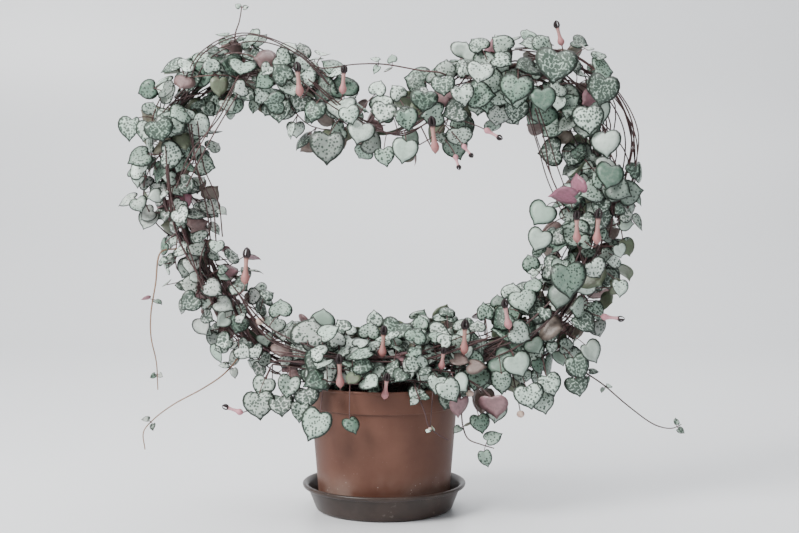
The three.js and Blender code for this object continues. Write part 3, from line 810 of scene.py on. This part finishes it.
def leaf_skin(graph):
    """The leaf's two sides: spots on silver above, and grey-green to mauve below."""
    pattern = carried(graph, "pattern", "Vector")
    rim, below, tone, mottle, blush = (carried(graph, name) for name in (
        "rim", "below", "tone", "mottle", "blush"))
    soft = noise(graph, pattern, 0.3, 3)
    ragged = noise(graph, pattern, 0.9, 3)
    cells = {"Vector": pattern, "Scale": 0.46, "Randomness": 0.85}
    to_spot = graph.add("ShaderNodeTexVoronoi", {"feature": "F1"}, cells)["Distance"]
    to_vein = graph.add("ShaderNodeTexVoronoi", {"feature": "DISTANCE_TO_EDGE"}, {
        "Vector": pattern, "Scale": 0.3, "Randomness": 0.9})["Distance"]
    spotted = (to_spot + (ragged - 0.5) * 0.6 - mottle * 0.22).step(0.37, 0.24)
    marbled = (to_vein + (ragged - 0.5) * 0.25).step(0.06, 0.16) * mottle.step(0.68, 0.8)
    marked = spotted.node("MAXIMUM", marbled) * mottle.step(0.02, 0.12)
    silver = graph.blend(tone.step(0, 0.8), paint("cadcd0"), paint("86a090"))
    silver = graph.blend(tone.step(0.7, 1), silver, paint("567061"))
    silver = graph.blend(blush * 0.6, silver, paint("a89aa0"))
    silver = graph.blend(soft.step(0.4, 0.7) * 0.45, silver, paint("87998c"))
    green = graph.blend(tone, paint("34443a"), paint("213027"))
    upper = graph.blend(marked * 0.9, silver, green)
    edge = (rim + (ragged - 0.5) * 0.08).step(0.83, 0.92)
    upper = graph.blend(edge * 0.95, upper, paint("222c24"))
    lower = graph.blend(blush, paint("5f6c56"), paint("a0627a"))
    lower = graph.blend(soft.step(0.35, 0.7) * 0.4, lower, paint("4f423c"))
    return {
        "Base Color": graph.blend(below, upper, lower),
        "Roughness": 0.4 + marked * 0.1,
        "Normal": bump(graph, ragged + soft * 1.5, 0.00018),
    }


leaf_material = new_material("leaf_skin", leaf_skin)
blade_shape = blade_mesh()
OUTLINE = np.array([(0, 0), (0.42, -0.08), (0.53, 0.25), (0.32, 0.64), (0, 0.95), (-0.32, 0.64),
                    (-0.53, 0.25), (-0.42, -0.08)])
UPWARD, FORWARD = np.array([0.0, 0.0, 1.0]), np.array([0.0, -1.0, 0.0])
MOST_LEAVES = 2400
# The room that leaves keep: above the rim and the compost, outside the rim and the wall, the rim's inside,
# the lowest place, round a flower, to the sides where they would hide it, and from leaf to leaf.
ABOVE_POT, ROUND_RIM, ROUND_WALL, RIM_INSIDE, LOWEST_LEAF = 0.0015, 0.0022, 0.001, 0.0575, 0.03
ROUND_FLOWER, BESIDE_FLOWER, LEAF_GAP = 0.005, 0.006, 0.0022
canopy = {"count": 0, "centre": np.zeros((MOST_LEAVES, 3)), "facing": np.zeros((MOST_LEAVES, 3)),
          "radius": np.zeros(MOST_LEAVES), "outline": np.zeros((MOST_LEAVES, 8, 3))}
flower_bases = np.array([row["root"] for row in flower_rows])
flower_tips = np.array([row["root"] + row["along"] * row["size"] for row in flower_rows])


def cut_through(outline, centres, facings, radii):
    """For each flat disc, whether the closed outlines cross it."""
    after = np.roll(outline, -1, axis=-2)
    here = ((outline - centres[:, None]) * facings[:, None]).sum(-1)
    there = ((after - centres[:, None]) * facings[:, None]).sum(-1)
    share = here / np.where(here == there, 1, here - there)
    hit = outline + (after - outline) * share[..., None]
    inside = np.linalg.norm(hit - centres[:, None], axis=-1) < radii[:, None]
    return ((here * there < 0) & inside).any(axis=1)


def is_free(outline, centre, facing, radius):
    """Whether a leaf is clear of the pot, the compost, the flowers and the other leaves."""
    places = np.vstack([outline, centre[None]])
    from_axis = np.hypot(places[:, 0], places[:, 1])
    over_rim = (from_axis > RIM_INSIDE) & (from_axis < POT_RIM + ROUND_RIM)
    in_rim = (places[:, 2] < POT_TOP + ABOVE_POT) & over_rim
    in_pot = (places[:, 2] < SOIL_CROWN + ABOVE_POT) & (from_axis < POT_RIM + ROUND_WALL)
    if in_rim.any() or in_pot.any() or places[:, 2].min() < LOWEST_LEAF:
        return False
    for share in (0.1, 0.5, 0.95):
        core = flower_bases + (flower_tips - flower_bases) * share
        gap = np.linalg.norm(places[:, None] - core[None], axis=-1)
        sideways = np.linalg.norm((places[:, None] - core[None])[..., ::2], axis=-1)
        before = (places[:, None, 1] < core[None, :, 1]) & (core[None, :, 1] < 0)
        hides = (sideways < BESIDE_FLOWER) & before
        if gap.min() < ROUND_FLOWER or hides.any():
            return False
    n = canopy["count"]
    centres, facings, radii = canopy["centre"][:n], canopy["facing"][:n], canopy["radius"][:n]
    apart = np.linalg.norm(centres - centre, axis=1)
    near = np.nonzero(apart < radii + radius)[0]
    if not len(near):
        return True
    flat = (apart[near] < 0.55 * (radii[near] + radius)) & (np.abs(facings[near] @ facing) > 0.6)
    height = np.abs(((centres[near] - centre) * facing).sum(1))
    if (flat & (height < LEAF_GAP)).any():
        return False
    if cut_through(outline[None], centres[near], facings[near], radii[near] * 0.9).any():
        return False
    one = np.ones(len(near))
    own_disc = (centre * one[:, None], facing * one[:, None], radius * 0.9 * one)
    return not cut_through(canopy["outline"][near], *own_disc).any()


# Low on the left side, below this height, leaves are smaller, and to the left of this x they blush more.
LEAN_HEIGHT, LEAN_X, LEAN_SIZE = 0.27, -0.05, 0.82


def leaf_row(root, tip, facing, size, rng, green=0.5, width=1.0):
    """The attribute values of one leaf."""
    tip = project(tip, facing)
    usual_blush = 0.45 if root[0] < LEAN_X and root[2] < LEAN_HEIGHT else 0.12
    return {
        "root": root, "along": tip, "facing": facing, "across": np.cross(tip, facing), "size": size,
        "width": width * rng.uniform(0.82, 1.12), "depth": BLADE_DEPTH, "cup": rng.uniform(-0.4, 0.3),
        "fold": rng.uniform(-0.05, 0.35), "droop": rng.uniform(-0.1, 0.22),
        "tone": float(np.clip(green + rng.normal(0, 0.42), 0, 1)), "mottle": rng.random(),
        "blush": float(np.clip(rng.normal(usual_blush, 0.25), 0, 0.8))}


def keep_leaf(row):
    """Adds the leaf to the canopy if it fits there, and says whether it did."""
    flat = OUTLINE * row["size"]
    outline = row["root"] + flat[:, :1] * row["width"] * row["across"] + flat[:, 1:] * row["along"]
    centre = row["root"] + row["along"] * row["size"] * 0.38
    radius = row["size"] * 0.5
    if not is_free(outline, centre, row["facing"], radius):
        return False
    n = canopy["count"]
    canopy["centre"][n], canopy["facing"][n], canopy["radius"][n] = centre, row["facing"], radius
    canopy["outline"][n] = outline
    canopy["count"] = n + 1
    return True


def bent_stalk(start, bend, end, thick=0.00095, age=0.3, steps=5):
    """A thin stalk from start to end that first heads for bend."""
    t = np.linspace(0, 1, steps)[:, None]
    points = start * (1 - t) ** 2 + bend * 2 * t * (1 - t) + end * t**2
    return points, np.linspace(thick, thick * 0.8, steps), age


def stalk_end(row):
    """Where a leaf's stalk meets its blade: a little in from the notch, on the underside."""
    return row["root"] + row["along"] * row["size"] * 0.05 - row["facing"] * 0.0005


def bushiness(node):
    """How far the leaves stand off here: more on the right, and most along the bottom."""
    return (0.95 if node[0] < 0 else 1.15) * (1.45 if node[2] < 0.2 else 1)


# On the outside of the right shoulder, past this x and height, no pairs grow, so its strands are bare but for
# a few of the broad leaves below.
BARE_SHOULDER = (0.168, 0.275)
# The share of leaves that show their undersides, and how often a leaf is tried before it is given up.
UNDERSIDES, ATTEMPTS = 0.05, 9


def grow_pair(node, radial, onward, size, reach, green, rng, leaves, stalks, lift=0.4):
    """Grows two opposite leaves at a node of a strand, each where one of its attempts finds room."""
    sideways = unit(np.cross(onward, radial))
    spin = rng.uniform(-0.5, 0.5)
    for hand in (-1, 1):
        wanted = size * rng.uniform(0.62, 1.28)
        underside = rng.random() < UNDERSIDES
        for attempt in range(ATTEMPTS):
            splay = rng.uniform(0.3, 1.3) + spin * hand
            reaching = radial * cos(splay) + sideways * hand * sin(splay) + onward * rng.uniform(-0.5, 0.5)
            reaching = unit(reaching + UPWARD * 0.15)
            stalk = reach * bushiness(node) * rng.uniform(0.5, 1.5)
            root = node + reaching * stalk
            if root[0] > BARE_SHOULDER[0] and root[2] > BARE_SHOULDER[1]:
                continue
            to_viewer = 0.75 if root[1] < 0.012 else -0.3
            facing = radial * 0.5 + reaching * 0.25 + UPWARD * lift + FORWARD * to_viewer
            facing = unit(facing + rng.normal(0, 0.42 + 0.04 * attempt, 3))
            facing = facing * (-1 if underside else 1)
            tip = reaching * 0.7 + radial * 0.2 - UPWARD * 0.35 + rng.normal(0, 0.6, 3)
            length = wanted * (1 - 0.04 * attempt)
            row = leaf_row(root, tip, facing, length, rng, green)
            if keep_leaf(row):
                leaves.append(row)
                bend = node + reaching * stalk * 0.6 + radial * stalk * 0.15
                stalks.append(bent_stalk(node, bend, stalk_end(row)))
                break


# Broad leaves that hang free at the front and over the rim, each placed one by one: its root in millimetres,
# the directions of its tip and of its upper side, its length in millimetres and its greenness.
BROAD_LEAVES = [
    ((147, -50, 254), (-1, 0, -0.15), (0.1, 0.5, 0.86), 22, 0.5),
    ((152, -44, 257), (-0.2, 0, 1), (0.75, 0.6, 0.2), 16, 0.5),
    ((84, -56, 99), (0.15, 0, -1), (0.3, 0.85, 0.4), 20, 0.5),
    ((60, -58, 98), (-0.1, 0, -1), (-0.5, 0.8, 0.3), 17, 0.5),
    ((142, -44, 199), (0.1, 0, -1), (0.1, -1, 0.25), 28, 0.7),
    ((-98, -40, 99), (0.1, 0, -1), (-0.2, -1, 0.2), 23, 0.95),
    ((-48, -66, 88), (-0.35, 0, -1), (-0.25, -1, 0.3), 26, 0.8),
    ((-30, -66, 106), (0.15, 0, -1), (0.1, -1, 0.4), 22, 0.85),
    ((-26, -68, 84), (0.25, 0, -1), (0.3, -0.9, 0.6), 15, 1.0),
    ((70, -52, 108), (-0.5, 0, -0.8), (0, -1, 0.35), 21, 0.5),
    ((-43, -32, 301), (-0.05, 0, -1), (-0.1, -1, 0.1), 26, 0.35),
    ((178, -34, 277), (-0.3, 0, -1), (0.2, -1, 0.3), 22, 0.1),
    ((172, -38, 303), (0.1, 0, -1), (-0.3, -1, 0.3), 22, 0.1),
    ((-199, -14, 314), (-0.1, 0, -1), (-0.5, -1, 0.2), 20, 0.3),
    ((-184, -24, 310), (-0.2, 0, -1), (-0.3, -1, 0.3), 17, 0.3),
    ((-177, -30, 311), (0.3, 0, -1), (0.1, -1, 0.3), 19, 0.4),
    ((127, -38, 246), (-0.5, 0, -0.8), (-0.2, -1, 0.3), 20, 0.15),
    ((124, -38, 226), (-0.4, 0, -1), (-0.1, -1, 0.2), 19, 0.2),
    ((141, -42, 228), (0.2, 0, -1), (0.1, -1, 0.3), 20, 0.1),
    ((134, -44, 364), (-0.15, 0, -1), (0, -1, 0.25), 27, 0.75),
    ((104, -44, 345), (-0.2, 0, -1), (-0.2, -1, 0.3), 24, 0.7),
    ((122, -46, 335), (0.1, 0, -1), (0.1, -1, 0.2), 20, 0.7),
    ((172, -38, 345), (-0.25, 0, -1), (0.1, -1, 0.2), 26, 0.6),
    ((158, -40, 322), (0.1, 0, -1), (0, -1, 0.2), 23, 0.85),
    ((76, -38, 355), (-0.2, 0, -1), (0, -1, 0.3), 18, 0.4),
    ((52, -34, 322), (-0.5, 0, -1), (-0.1, -1, 0.3), 19, 0.3),
    ((2, -32, 324), (-0.3, 0, -1), (-0.1, -1, 0.3), 17, 0.3),
    ((16, -34, 319), (0.2, 0, -1), (0.2, -1, 0.2), 18, 0.3),
    ((-6, -26, 333), (0.3, 0, 1), (0, -1, 0.4), 15, 0.4),
    ((32, -30, 334), (-0.1, 0, -1), (0.1, -1, 0.3), 18, 0.6),
    ((46, -34, 345), (0.1, 0, -1), (-0.1, -1, 0.3), 17, 0.5),
    ((-28, -34, 322), (0.3, 0, -1), (0, -1, 0.3), 16, 0.5),
    ((14, -24, 331), (-0.5, 0, 0.8), (0.1, -1, 0.4), 14, 0.3),
    ((34, -34, 312), (-0.6, 0, -0.6), (0, -1, 0.2), 16, 0.2),
    ((-52, -34, 326), (-0.2, 0, -1), (-0.2, -1, 0.3), 19, 0.6),
    ((60, -34, 338), (0.2, 0, -1), (0.1, -1, 0.3), 18, 0.3),
    ((18, -32, 296), (-0.2, 0, -1), (0, -1, 0.2), 20, 0.2),
    ((0, -30, 290), (0.2, 0, -1), (0, -1, 0.2), 16, 0.3),
    ((-16, -32, 310), (-0.3, 0, -1), (0.1, -1, 0.3), 20, 0.4),
    ((30, -32, 310), (0.1, 0, -1), (0, -1, 0.3), 18, 0.3),
    ((-8, -44, 124), (-0.2, 0, -1), (0, -1, 0.35), 21, 0.1),
    ((16, -46, 140), (-0.8, 0, -0.4), (0, -1, 0.4), 22, 0.3),
    ((52, -40, 142), (-0.1, 0, 1), (0, -1, 0.3), 26, 0.2),
    ((-60, -38, 138), (0.2, 0, 1), (0, -1, 0.3), 25, 0.35),
    ((-12, -30, 142), (0.1, 0, 1), (-0.1, -1, 0.4), 15, 0.3),
    ((102, -36, 128), (0.4, 0, -1), (0.2, -1, 0.3), 20, 0.3),
    ((112, -38, 104), (0.2, 0, -1), (0.1, -1, 0.3), 20, 0.4),
    ((128, -34, 112), (0.3, 0, -1), (0.2, -1, 0.3), 19, 0.3),
    ((92, -44, 116), (0, 0, -1), (0.2, -1, 0.2), 19, 0.4),
    ((150, -30, 126), (0.4, 0, -1), (0.3, -1, 0.3), 21, 0.5),
    ((98, -40, 102), (0.1, 0, -1), (0.1, -1, 0.3), 18, 0.4),
    ((88, -46, 92), (-0.1, 0, -1), (0.2, -1, 0.2), 17, 0.4),
    ((124, -34, 98), (0.2, 0, -1), (0.1, -1, 0.4), 18, 0.3),
    ((138, -30, 106), (0.3, 0, -1), (0.2, -1, 0.3), 18, 0.4),
    ((152, -28, 110), (0.2, 0, -1), (0.3, -1, 0.3), 17, 0.5),
    ((160, -26, 136), (0.5, 0, -0.8), (0.3, -1, 0.3), 19, 0.5),
    ((-82, -16, 158), (-0.1, 0, 1), (-0.1, -1, 0.3), 16, 0.4),
    ((-49, -20, 150), (0.1, 0, 1), (0.1, -1, 0.3), 17, 0.2),
    ((-7, -18, 150), (0, 0, 1), (0.2, -1, 0.3), 15, 0.3),
    ((30, -18, 147), (-0.2, 0, 1), (-0.1, -1, 0.3), 14, 0.4),
    ((101, -18, 172), (0.2, 0, 1), (0.1, -1, 0.3), 15, 0.3),
    ((81, -20, 156), (-0.1, 0, 1), (0.2, -1, 0.2), 15, 0.3),
    ((118, -18, 196), (-0.3, 0, 1), (-0.1, -1, 0.3), 14, 0.4),
    ((-30, -22, 146), (-0.5, 0, 0.8), (0, -1, 0.5), 14, 0.4),
    ((74, -54, 84), (0.1, 0, -1), (0.4, -0.9, 0.3), 16, 0.6),
    ((-80, -42, 97), (0.1, 0, -1), (-0.1, -1, 0.3), 18, 0.4),
    ((-92, -36, 110), (-0.3, 0, -1), (-0.2, -1, 0.3), 17, 0.3),
    ((-64, -50, 92), (-0.1, 0, -1), (0.1, -1, 0.4), 16, 0.5),
    ((-72, -44, 112), (-0.2, 0, -1), (0, -1, 0.3), 19, 0.4),
    ((-60, -50, 104), (0.1, 0, -1), (-0.2, -1, 0.3), 17, 0.3),
]
# Every strand's points so far, so that stalks can start from the nearest.
strand_points = []
broad_rows = []
rng = np.random.default_rng(17)
for root, tip, facing, size, green in BROAD_LEAVES:
    facing = unit(np.array(facing, float))
    row = leaf_row(np.array(root) * MM, np.array(tip, float), facing, size * MM, rng, green)
    if facing[1] > 0:
        row["blush"] = 0.9 if root[2] > 200 else 0.55
    row["mottle"] = 0.0 if green < 0.25 else row["mottle"]
    if keep_leaf(row):
        broad_rows.append(row)

FIRST_SHOOT, SHOOT_LENGTH, SHOOTS_A_SIDE = 0.074, 0.1, 10
SHOOT_SPACING = (to_dip - 0.012 - SHOOT_LENGTH - FIRST_SHOOT) / (SHOOTS_A_SIDE - 1)
LEAF_SIZE = {"left": 0.0168, "right": 0.018}
LEAF_REACH = 0.0095
# The shoots' strands run on before the first leaf and past the last one, from just over the compost to just
# short of the dip. Their orbits are distances from the wire.
BEFORE_LEAVES, PAST_LEAVES, LOWEST_WAY, SHORT_OF_DIP = 0.05, 0.02, 0.058, 0.002
NODE_SPACING = (0.0145, 0.0215)
THIN_ORBITS = {"left": (0.0075, 0.012, 0.018), "right": (0.008, 0.014, 0.021)}
for side in ("left", "right"):
    side_paths = []
    for shoot in range(SHOOTS_A_SIDE):
        rng = np.random.default_rng(200 + 20 * shoot + (side == "right"))
        start = FIRST_SHOOT + shoot * SHOOT_SPACING
        leaves = []
        for strand, orbit in enumerate(THIN_ORBITS[side]):
            phase = GOLDEN * shoot + 2.1 * strand + (0.3 if side == "left" else 1.5)
            first = max(start - BEFORE_LEAVES, LOWEST_WAY)
            last = min(start + SHOOT_LENGTH + PAST_LEAVES, to_dip - SHORT_OF_DIP)
            way, place, radial, onward = wound(side, first, last, orbit, phase, rng, 0.0034)
            side_paths.append((place, np.linspace(0.0013, 0.001, len(place)), rng.uniform(0.2, 0.6)))
            strand_points.append(place)
            node_way = start + rng.uniform(0, 0.012)
            while node_way < last - 0.004:
                node, out, on = (along_line(v, way, node_way) for v in (place, radial, onward))
                green = 0.35 if side == "left" else 0.5
                size = LEAF_SIZE[side] * (LEAN_SIZE if side == "left" and node[2] < LEAN_HEIGHT else 1)
                grow_pair(node, unit(out), unit(on), size, LEAF_REACH, green, rng, leaves, side_paths)
                node_way += rng.uniform(*NODE_SPACING)
        piece = placed_piece(f"leaves_{side}_{shoot + 1:02d}", blade_shape, leaf_material, leaves)
        finish_piece(piece, "leaf", f"leafy_shoot_{side}_{shoot + 1:02d}")
    finish_piece(tube_piece(f"young_strands_{side}", side_paths, 5, strand_material), "stem")

# Bare strands that have slipped out of the bundle: how many run together, how far apart, and their route, in
# millimetres.
LOOSE_STRANDS = [
    (7, 6, [(112, -14, 368), (148, -14, 361), (180, -12, 336), (196, -10, 302), (194, -8, 264),
            (184, -8, 234)]),
    (3, 5, [(-158, -16, 330), (-142, -20, 362), (-108, -22, 378), (-70, -20, 364), (-44, -16, 340)]),
    (6, 7, [(-84, -38, 126), (-30, -42, 122), (24, -42, 126), (78, -36, 140)]),
    (3, 6, [(-150, -20, 316), (-146, -16, 280), (-138, -14, 250), (-134, -16, 222)]),
    (4, 5, [(118, -24, 322), (126, -22, 296), (134, -20, 268), (146, -20, 240)]),
    (3, 6, [(-176, -22, 300), (-172, -26, 262), (-164, -24, 226), (-146, -24, 186)]),
    (3, 5, [(-110, -20, 350), (-126, -26, 322), (-146, -28, 290), (-160, -26, 262)]),
    (3, 6, [(-60, -26, 345), (-30, -26, 318), (10, -24, 302), (44, -24, 318)]),
    (3, 8, [(-118, -28, 178), (-92, -32, 146), (-56, -36, 128), (-30, -36, 118)]),
    (3, 8, [(164, -28, 214), (146, -32, 176), (112, -34, 142), (72, -34, 126)]),
]
loose_paths = []
rng = np.random.default_rng(55)
for count, spread, route in LOOSE_STRANDS:
    for strand in range(count):
        shift = rng.uniform(-spread, spread, 3) * (1, 0.5, 1)
        points = [(np.array(point) + shift + rng.uniform(-2.5, 2.5, 3)) * MM for point in route]
        line = smooth_line(points, 8)
        loose_paths.append((line, rng.uniform(0.001, 0.0014), rng.uniform(0.35, 0.75)))
        strand_points.append(line)
finish_piece(tube_piece("loose_strands", loose_paths, 5, strand_material), "stem")

# Shoots that run across the top of the pot, in front of the hoop's legs and behind them. Each has three
# strands, one above the other by these heights. Routes and heights are in millimetres.
CROWN_HEIGHTS = (0, 9, 20)
CROWN_LEAF, CROWN_REACH, CROWN_SPACING = 0.0172, 0.008, (0.012, 0.018)
CROWN = [
    [(-66, -19, 116), (-34, -17, 109), (0, -18, 112), (34, -18, 115), (66, -20, 118)],
    [(-60, -34, 106), (-24, -33, 104), (12, -34, 108), (58, -32, 112)],
    [(-46, -52, 110), (-14, -50, 107), (20, -50, 110), (50, -48, 106)],
    [(-64, 18, 112), (-26, 17, 107), (10, 18, 110), (62, 19, 116)],
    [(-50, 36, 107), (-10, 36, 105), (24, 37, 108), (52, 38, 112)],
]
crown_paths = []
for shoot, route in enumerate(CROWN):
    rng = np.random.default_rng(600 + shoot)
    aside = FORWARD if route[0][1] < 0 else -FORWARD
    leaves = []
    for strand, height in enumerate(CROWN_HEIGHTS):
        shift = np.array([rng.uniform(-8, 8), (strand - 1) * 5, height + rng.uniform(-1, 2)])
        line = smooth_line([(np.array(point) + shift) * MM for point in route], 8)
        way = distances(line)
        heading = np.gradient(line, way, axis=0)
        crown_paths.append((line, 0.0011, rng.uniform(0.2, 0.6)))
        strand_points.append(line)
        node_way = rng.uniform(0.002, 0.01)
        while node_way < way[-1]:
            on = unit(along_line(heading, way, node_way))
            out = project(aside * rng.uniform(0.2, 1) + UPWARD * rng.uniform(0.1, 1), on)
            node = along_line(line, way, node_way)
            grow_pair(node, out, on, CROWN_LEAF, CROWN_REACH, 0.45, rng, leaves, crown_paths, lift=0.7)
            node_way += rng.uniform(*CROWN_SPACING)
    piece = placed_piece(f"crown_leaves_{shoot + 1}", blade_shape, leaf_material, leaves)
    finish_piece(piece, "leaf", f"crown_shoot_{shoot + 1}")


def nearest_strand(place):
    """The nearest point of any young strand."""
    points = np.concatenate(strand_points)
    return points[np.argmin(np.linalg.norm(points - place, axis=1))]


for row in broad_rows:
    start, end = nearest_strand(row["root"]), stalk_end(row)
    crown_paths.append(bent_stalk(start, (start + end) / 2 + UPWARD * 0.004, end))
for row in flower_rows:
    bend, end = row["root"] - row["along"] * 0.006, row["root"] + row["along"] * 0.001
    crown_paths.append(bent_stalk(nearest_strand(row["root"]), bend, end, 0.0012))
finish_piece(placed_piece("broad_leaves", blade_shape, leaf_material, broad_rows), "leaf")
finish_piece(tube_piece("crown_strands", crown_paths, 5, strand_material), "stem")


# ---------------------------------------------------------------- trailing shoots
# Long young shoots that have left the hoop, thin and wiry. Each has a few pairs of small leaves, given by
# their share of the way along and length, and then its route. Lengths and routes are in millimetres.
TRAIL_THICK, TRAIL_AGE, TAN_AGE = (0.0015, 0.0009), 0.42, 0.97
TRAILING = {
    "trailing_shoot_left_upper": ([(0.42, 8), (0.9, 6)], [
        (-176, -24, 209), (-180, -26, 184), (-184, -26, 160), (-184, -26, 142), (-180, -26, 122),
        (-179, -26, 100)]),
    "trailing_shoot_left_lower": ([(0.16, 9), (0.8, 7)], [
        (-126, -20, 113), (-142, -28, 102), (-166, -30, 89), (-182, -30, 77), (-190, -30, 67),
        (-189, -30, 53)]),
    "trailing_shoot_right": ([(0.28, 9), (0.42, 6), (0.97, 7)], [
        (160, 18, 112), (181, 24, 97), (202, 28, 79), (226, 32, 62), (240, 34, 59), (248, 35, 62)]),
    "trailing_shoot_pot_front": ([(0.3, 8), (0.72, 5)], [
        (25, -64, 106), (32, -68, 88), (35, -68, 78), (43, -68, 71), (50, -67, 67)]),
    "trailing_shoot_pot_right": ([(0.55, 8), (0.9, 15)], [
        (60, -46, 96), (62, -48, 74), (66, -50, 65), (76, -52, 61), (86, -52, 58)]),
    "bridging_shoot": ([(0.46, 9), (0.55, 8)], [
        (46, -18, 350), (30, -18, 352), (0, -18, 357), (-22, -18, 357), (-48, -18, 354), (-58, -18, 357)]),
    "tip_shoot": ([(0.3, 8), (0.97, 5)], [
        (-118, -12, 374), (-117, -13, 382), (-114, -13, 391), (-112, -12, 403)]),
}
trail_paths, trail_rows = [], []
rng = np.random.default_rng(77)
for name, (leaves, route) in TRAILING.items():
    first = np.array(route[0]) * MM
    line = smooth_line([nearest_strand(first), *[np.array(point) * MM for point in route]], 8)
    way = distances(line)
    heading = np.gradient(line, way, axis=0)
    age = TAN_AGE if "left" in name else TRAIL_AGE
    trail_paths.append((line, np.linspace(*TRAIL_THICK, len(line)), age))
    for share, size in leaves:
        at = share * way[-1]
        node, on = along_line(line, way, at), unit(along_line(heading, way, at))
        for hand in (-1, 1):
            out = project(FORWARD * 0.4 + hand * np.cross(on, FORWARD), on)
            root = node + out * size * MM * 0.3
            facing = unit(FORWARD * 0.6 + UPWARD * 0.5 + rng.normal(0, 0.45, 3))
            trail_rows.append(leaf_row(root, out + on * 0.5, facing, size * MM, rng, 0.6, 0.8))
            trail_paths.append(bent_stalk(node, (node + root) / 2, root, 0.0007, 0.3, 3))
trailing_strands = tube_piece("trailing_strands", trail_paths, 6, strand_material)
finish_piece(trailing_strands, "stem", *TRAILING)
finish_piece(placed_piece("trailing_leaves", blade_shape, leaf_material, trail_rows), "leaf")


# ---------------------------------------------------------------- stem tubers
# Bead-like tubers that swell at the strands' joints: smooth, pale and a little lumpy. Each has its middle and
# radius in millimetres, and a short stalk to the nearest strand.
TUBER_RINGS, TUBER_SIDES = 9, 14
TUBERS = [((67, -46, 100), 3.0), ((-88, -30, 104), 2.7), ((-98, -28, 155), 3.2), ((108, -34, 82), 3.2),
          ((36, -68, 76), 1.4)]
tuber_vertices, tuber_faces = [], []
rng = np.random.default_rng(9)
for centre, radius in TUBERS:
    push = rng.uniform(-1, 1, 3)
    rows = []
    for ring in range(TUBER_RINGS + 1):
        tilt = pi * ring / TUBER_RINGS
        count = TUBER_SIDES if 0 < ring < TUBER_RINGS else 1
        rows.append(range(len(tuber_vertices), len(tuber_vertices) + count))
        for i in range(count):
            turn = 2 * pi * i / TUBER_SIDES
            way_out = np.array([sin(tilt) * cos(turn), sin(tilt) * sin(turn), -cos(tilt)])
            swell = 1 + 0.09 * sin(3 * turn + push[0] * 3) * sin(tilt) + 0.07 * float(way_out @ push)
            tuber_vertices.append(tuple((np.array(centre) + way_out * radius * swell * (1, 1, 0.88)) * MM))
    for low, high in zip(rows, rows[1:]):
        tuber_faces += band(low, high)
tubers = mesh_object("stem_beads", tuber_vertices, tuber_faces)


def tuber_skin(graph):
    place = object_place(graph)
    patches = noise(graph, place, 260, 3)
    return {
        "Base Color": graph.blend(patches.step(0.35, 0.7), paint("dcc4b4"), paint("c09a92")),
        "Roughness": 0.6,
        "Normal": bump(graph, noise(graph, place, 1500, 3), 0.0001),
    }


tubers.data.materials.append(new_material("tuber_skin", tuber_skin))
bead_stalks = []
for centre, radius in TUBERS:
    middle = np.array(centre) * MM
    start = nearest_strand(middle)
    bead_stalks.append(bent_stalk(start, (start + middle) / 2 + UPWARD * 0.003, middle, 0.0011, 0.45))
finish_piece(tube_piece("bead_stalks", bead_stalks, 5, strand_material), "stem")
finish_piece(tubers, "tuber", "stem_tuber_1", "stem_tuber_2", "stem_tuber_3")
bpy.data.objects.remove(blade_shape)


# ---------------------------------------------------------------- floor and light
# A plain pale floor that curves up into a plain pale wall, and soft light as from a large window on the
# left, with less from the room and from above.
FLOOR_NEAR, FLOOR_FAR, BEND_RADIUS, WALL_TOP, FLOOR_HALF = -2.2, 1.1, 0.6, 3.0, 3
turns = np.linspace(0.1, pi / 2, 12)
cove = [(FLOOR_FAR + BEND_RADIUS * sin(a), BEND_RADIUS - BEND_RADIUS * cos(a)) for a in turns]
sweep = [(FLOOR_NEAR, 0), (FLOOR_FAR, 0), *cove, (FLOOR_FAR + BEND_RADIUS, WALL_TOP)]
floor_vertices = [(x, y, z) for y, z in sweep for x in (-FLOOR_HALF, FLOOR_HALF)]
floor_faces = [(2 * i, 2 * i + 1, 2 * i + 3, 2 * i + 2) for i in range(len(sweep) - 1)]
floor = mesh_object("floor", floor_vertices, floor_faces)


def pale_floor(graph):
    return {"Base Color": (*paint("dfe1e4"), 1), "Roughness": 0.35}


floor.data.materials.append(new_material("pale_floor", pale_floor))


def soft_light(name, place, aim, size, power, colour=(1, 1, 1)):
    light = bpy.data.lights.new(name, "AREA")
    light.shape, light.size, light.energy, light.color = "SQUARE", size, power, colour
    lamp = bpy.data.objects.new(name, light)
    lamp.location = place
    lamp.rotation_euler = (Vector(aim) - Vector(place)).to_track_quat("-Z", "Y").to_euler()
    scene.collection.objects.link(lamp)


PLANT = (0, 0, 0.2)
soft_light("window", (-1.35, -1.05, 1.45), PLANT, size=1.1, power=94, colour=(1.0, 0.99, 0.97))
soft_light("room", (1.4, -1.6, 1.0), PLANT, size=1.6, power=12, colour=(0.97, 0.98, 1.0))
soft_light("ceiling", (0.2, 0.4, 2.0), (0, 0.2, 0.1), size=2.0, power=56)
world = bpy.data.worlds.new("room")
world.use_nodes = True
surroundings = world.node_tree.nodes["Background"].inputs
surroundings["Color"].default_value = (*paint("e4e7ea"), 1)
surroundings["Strength"].default_value = 0.2
scene.world = world
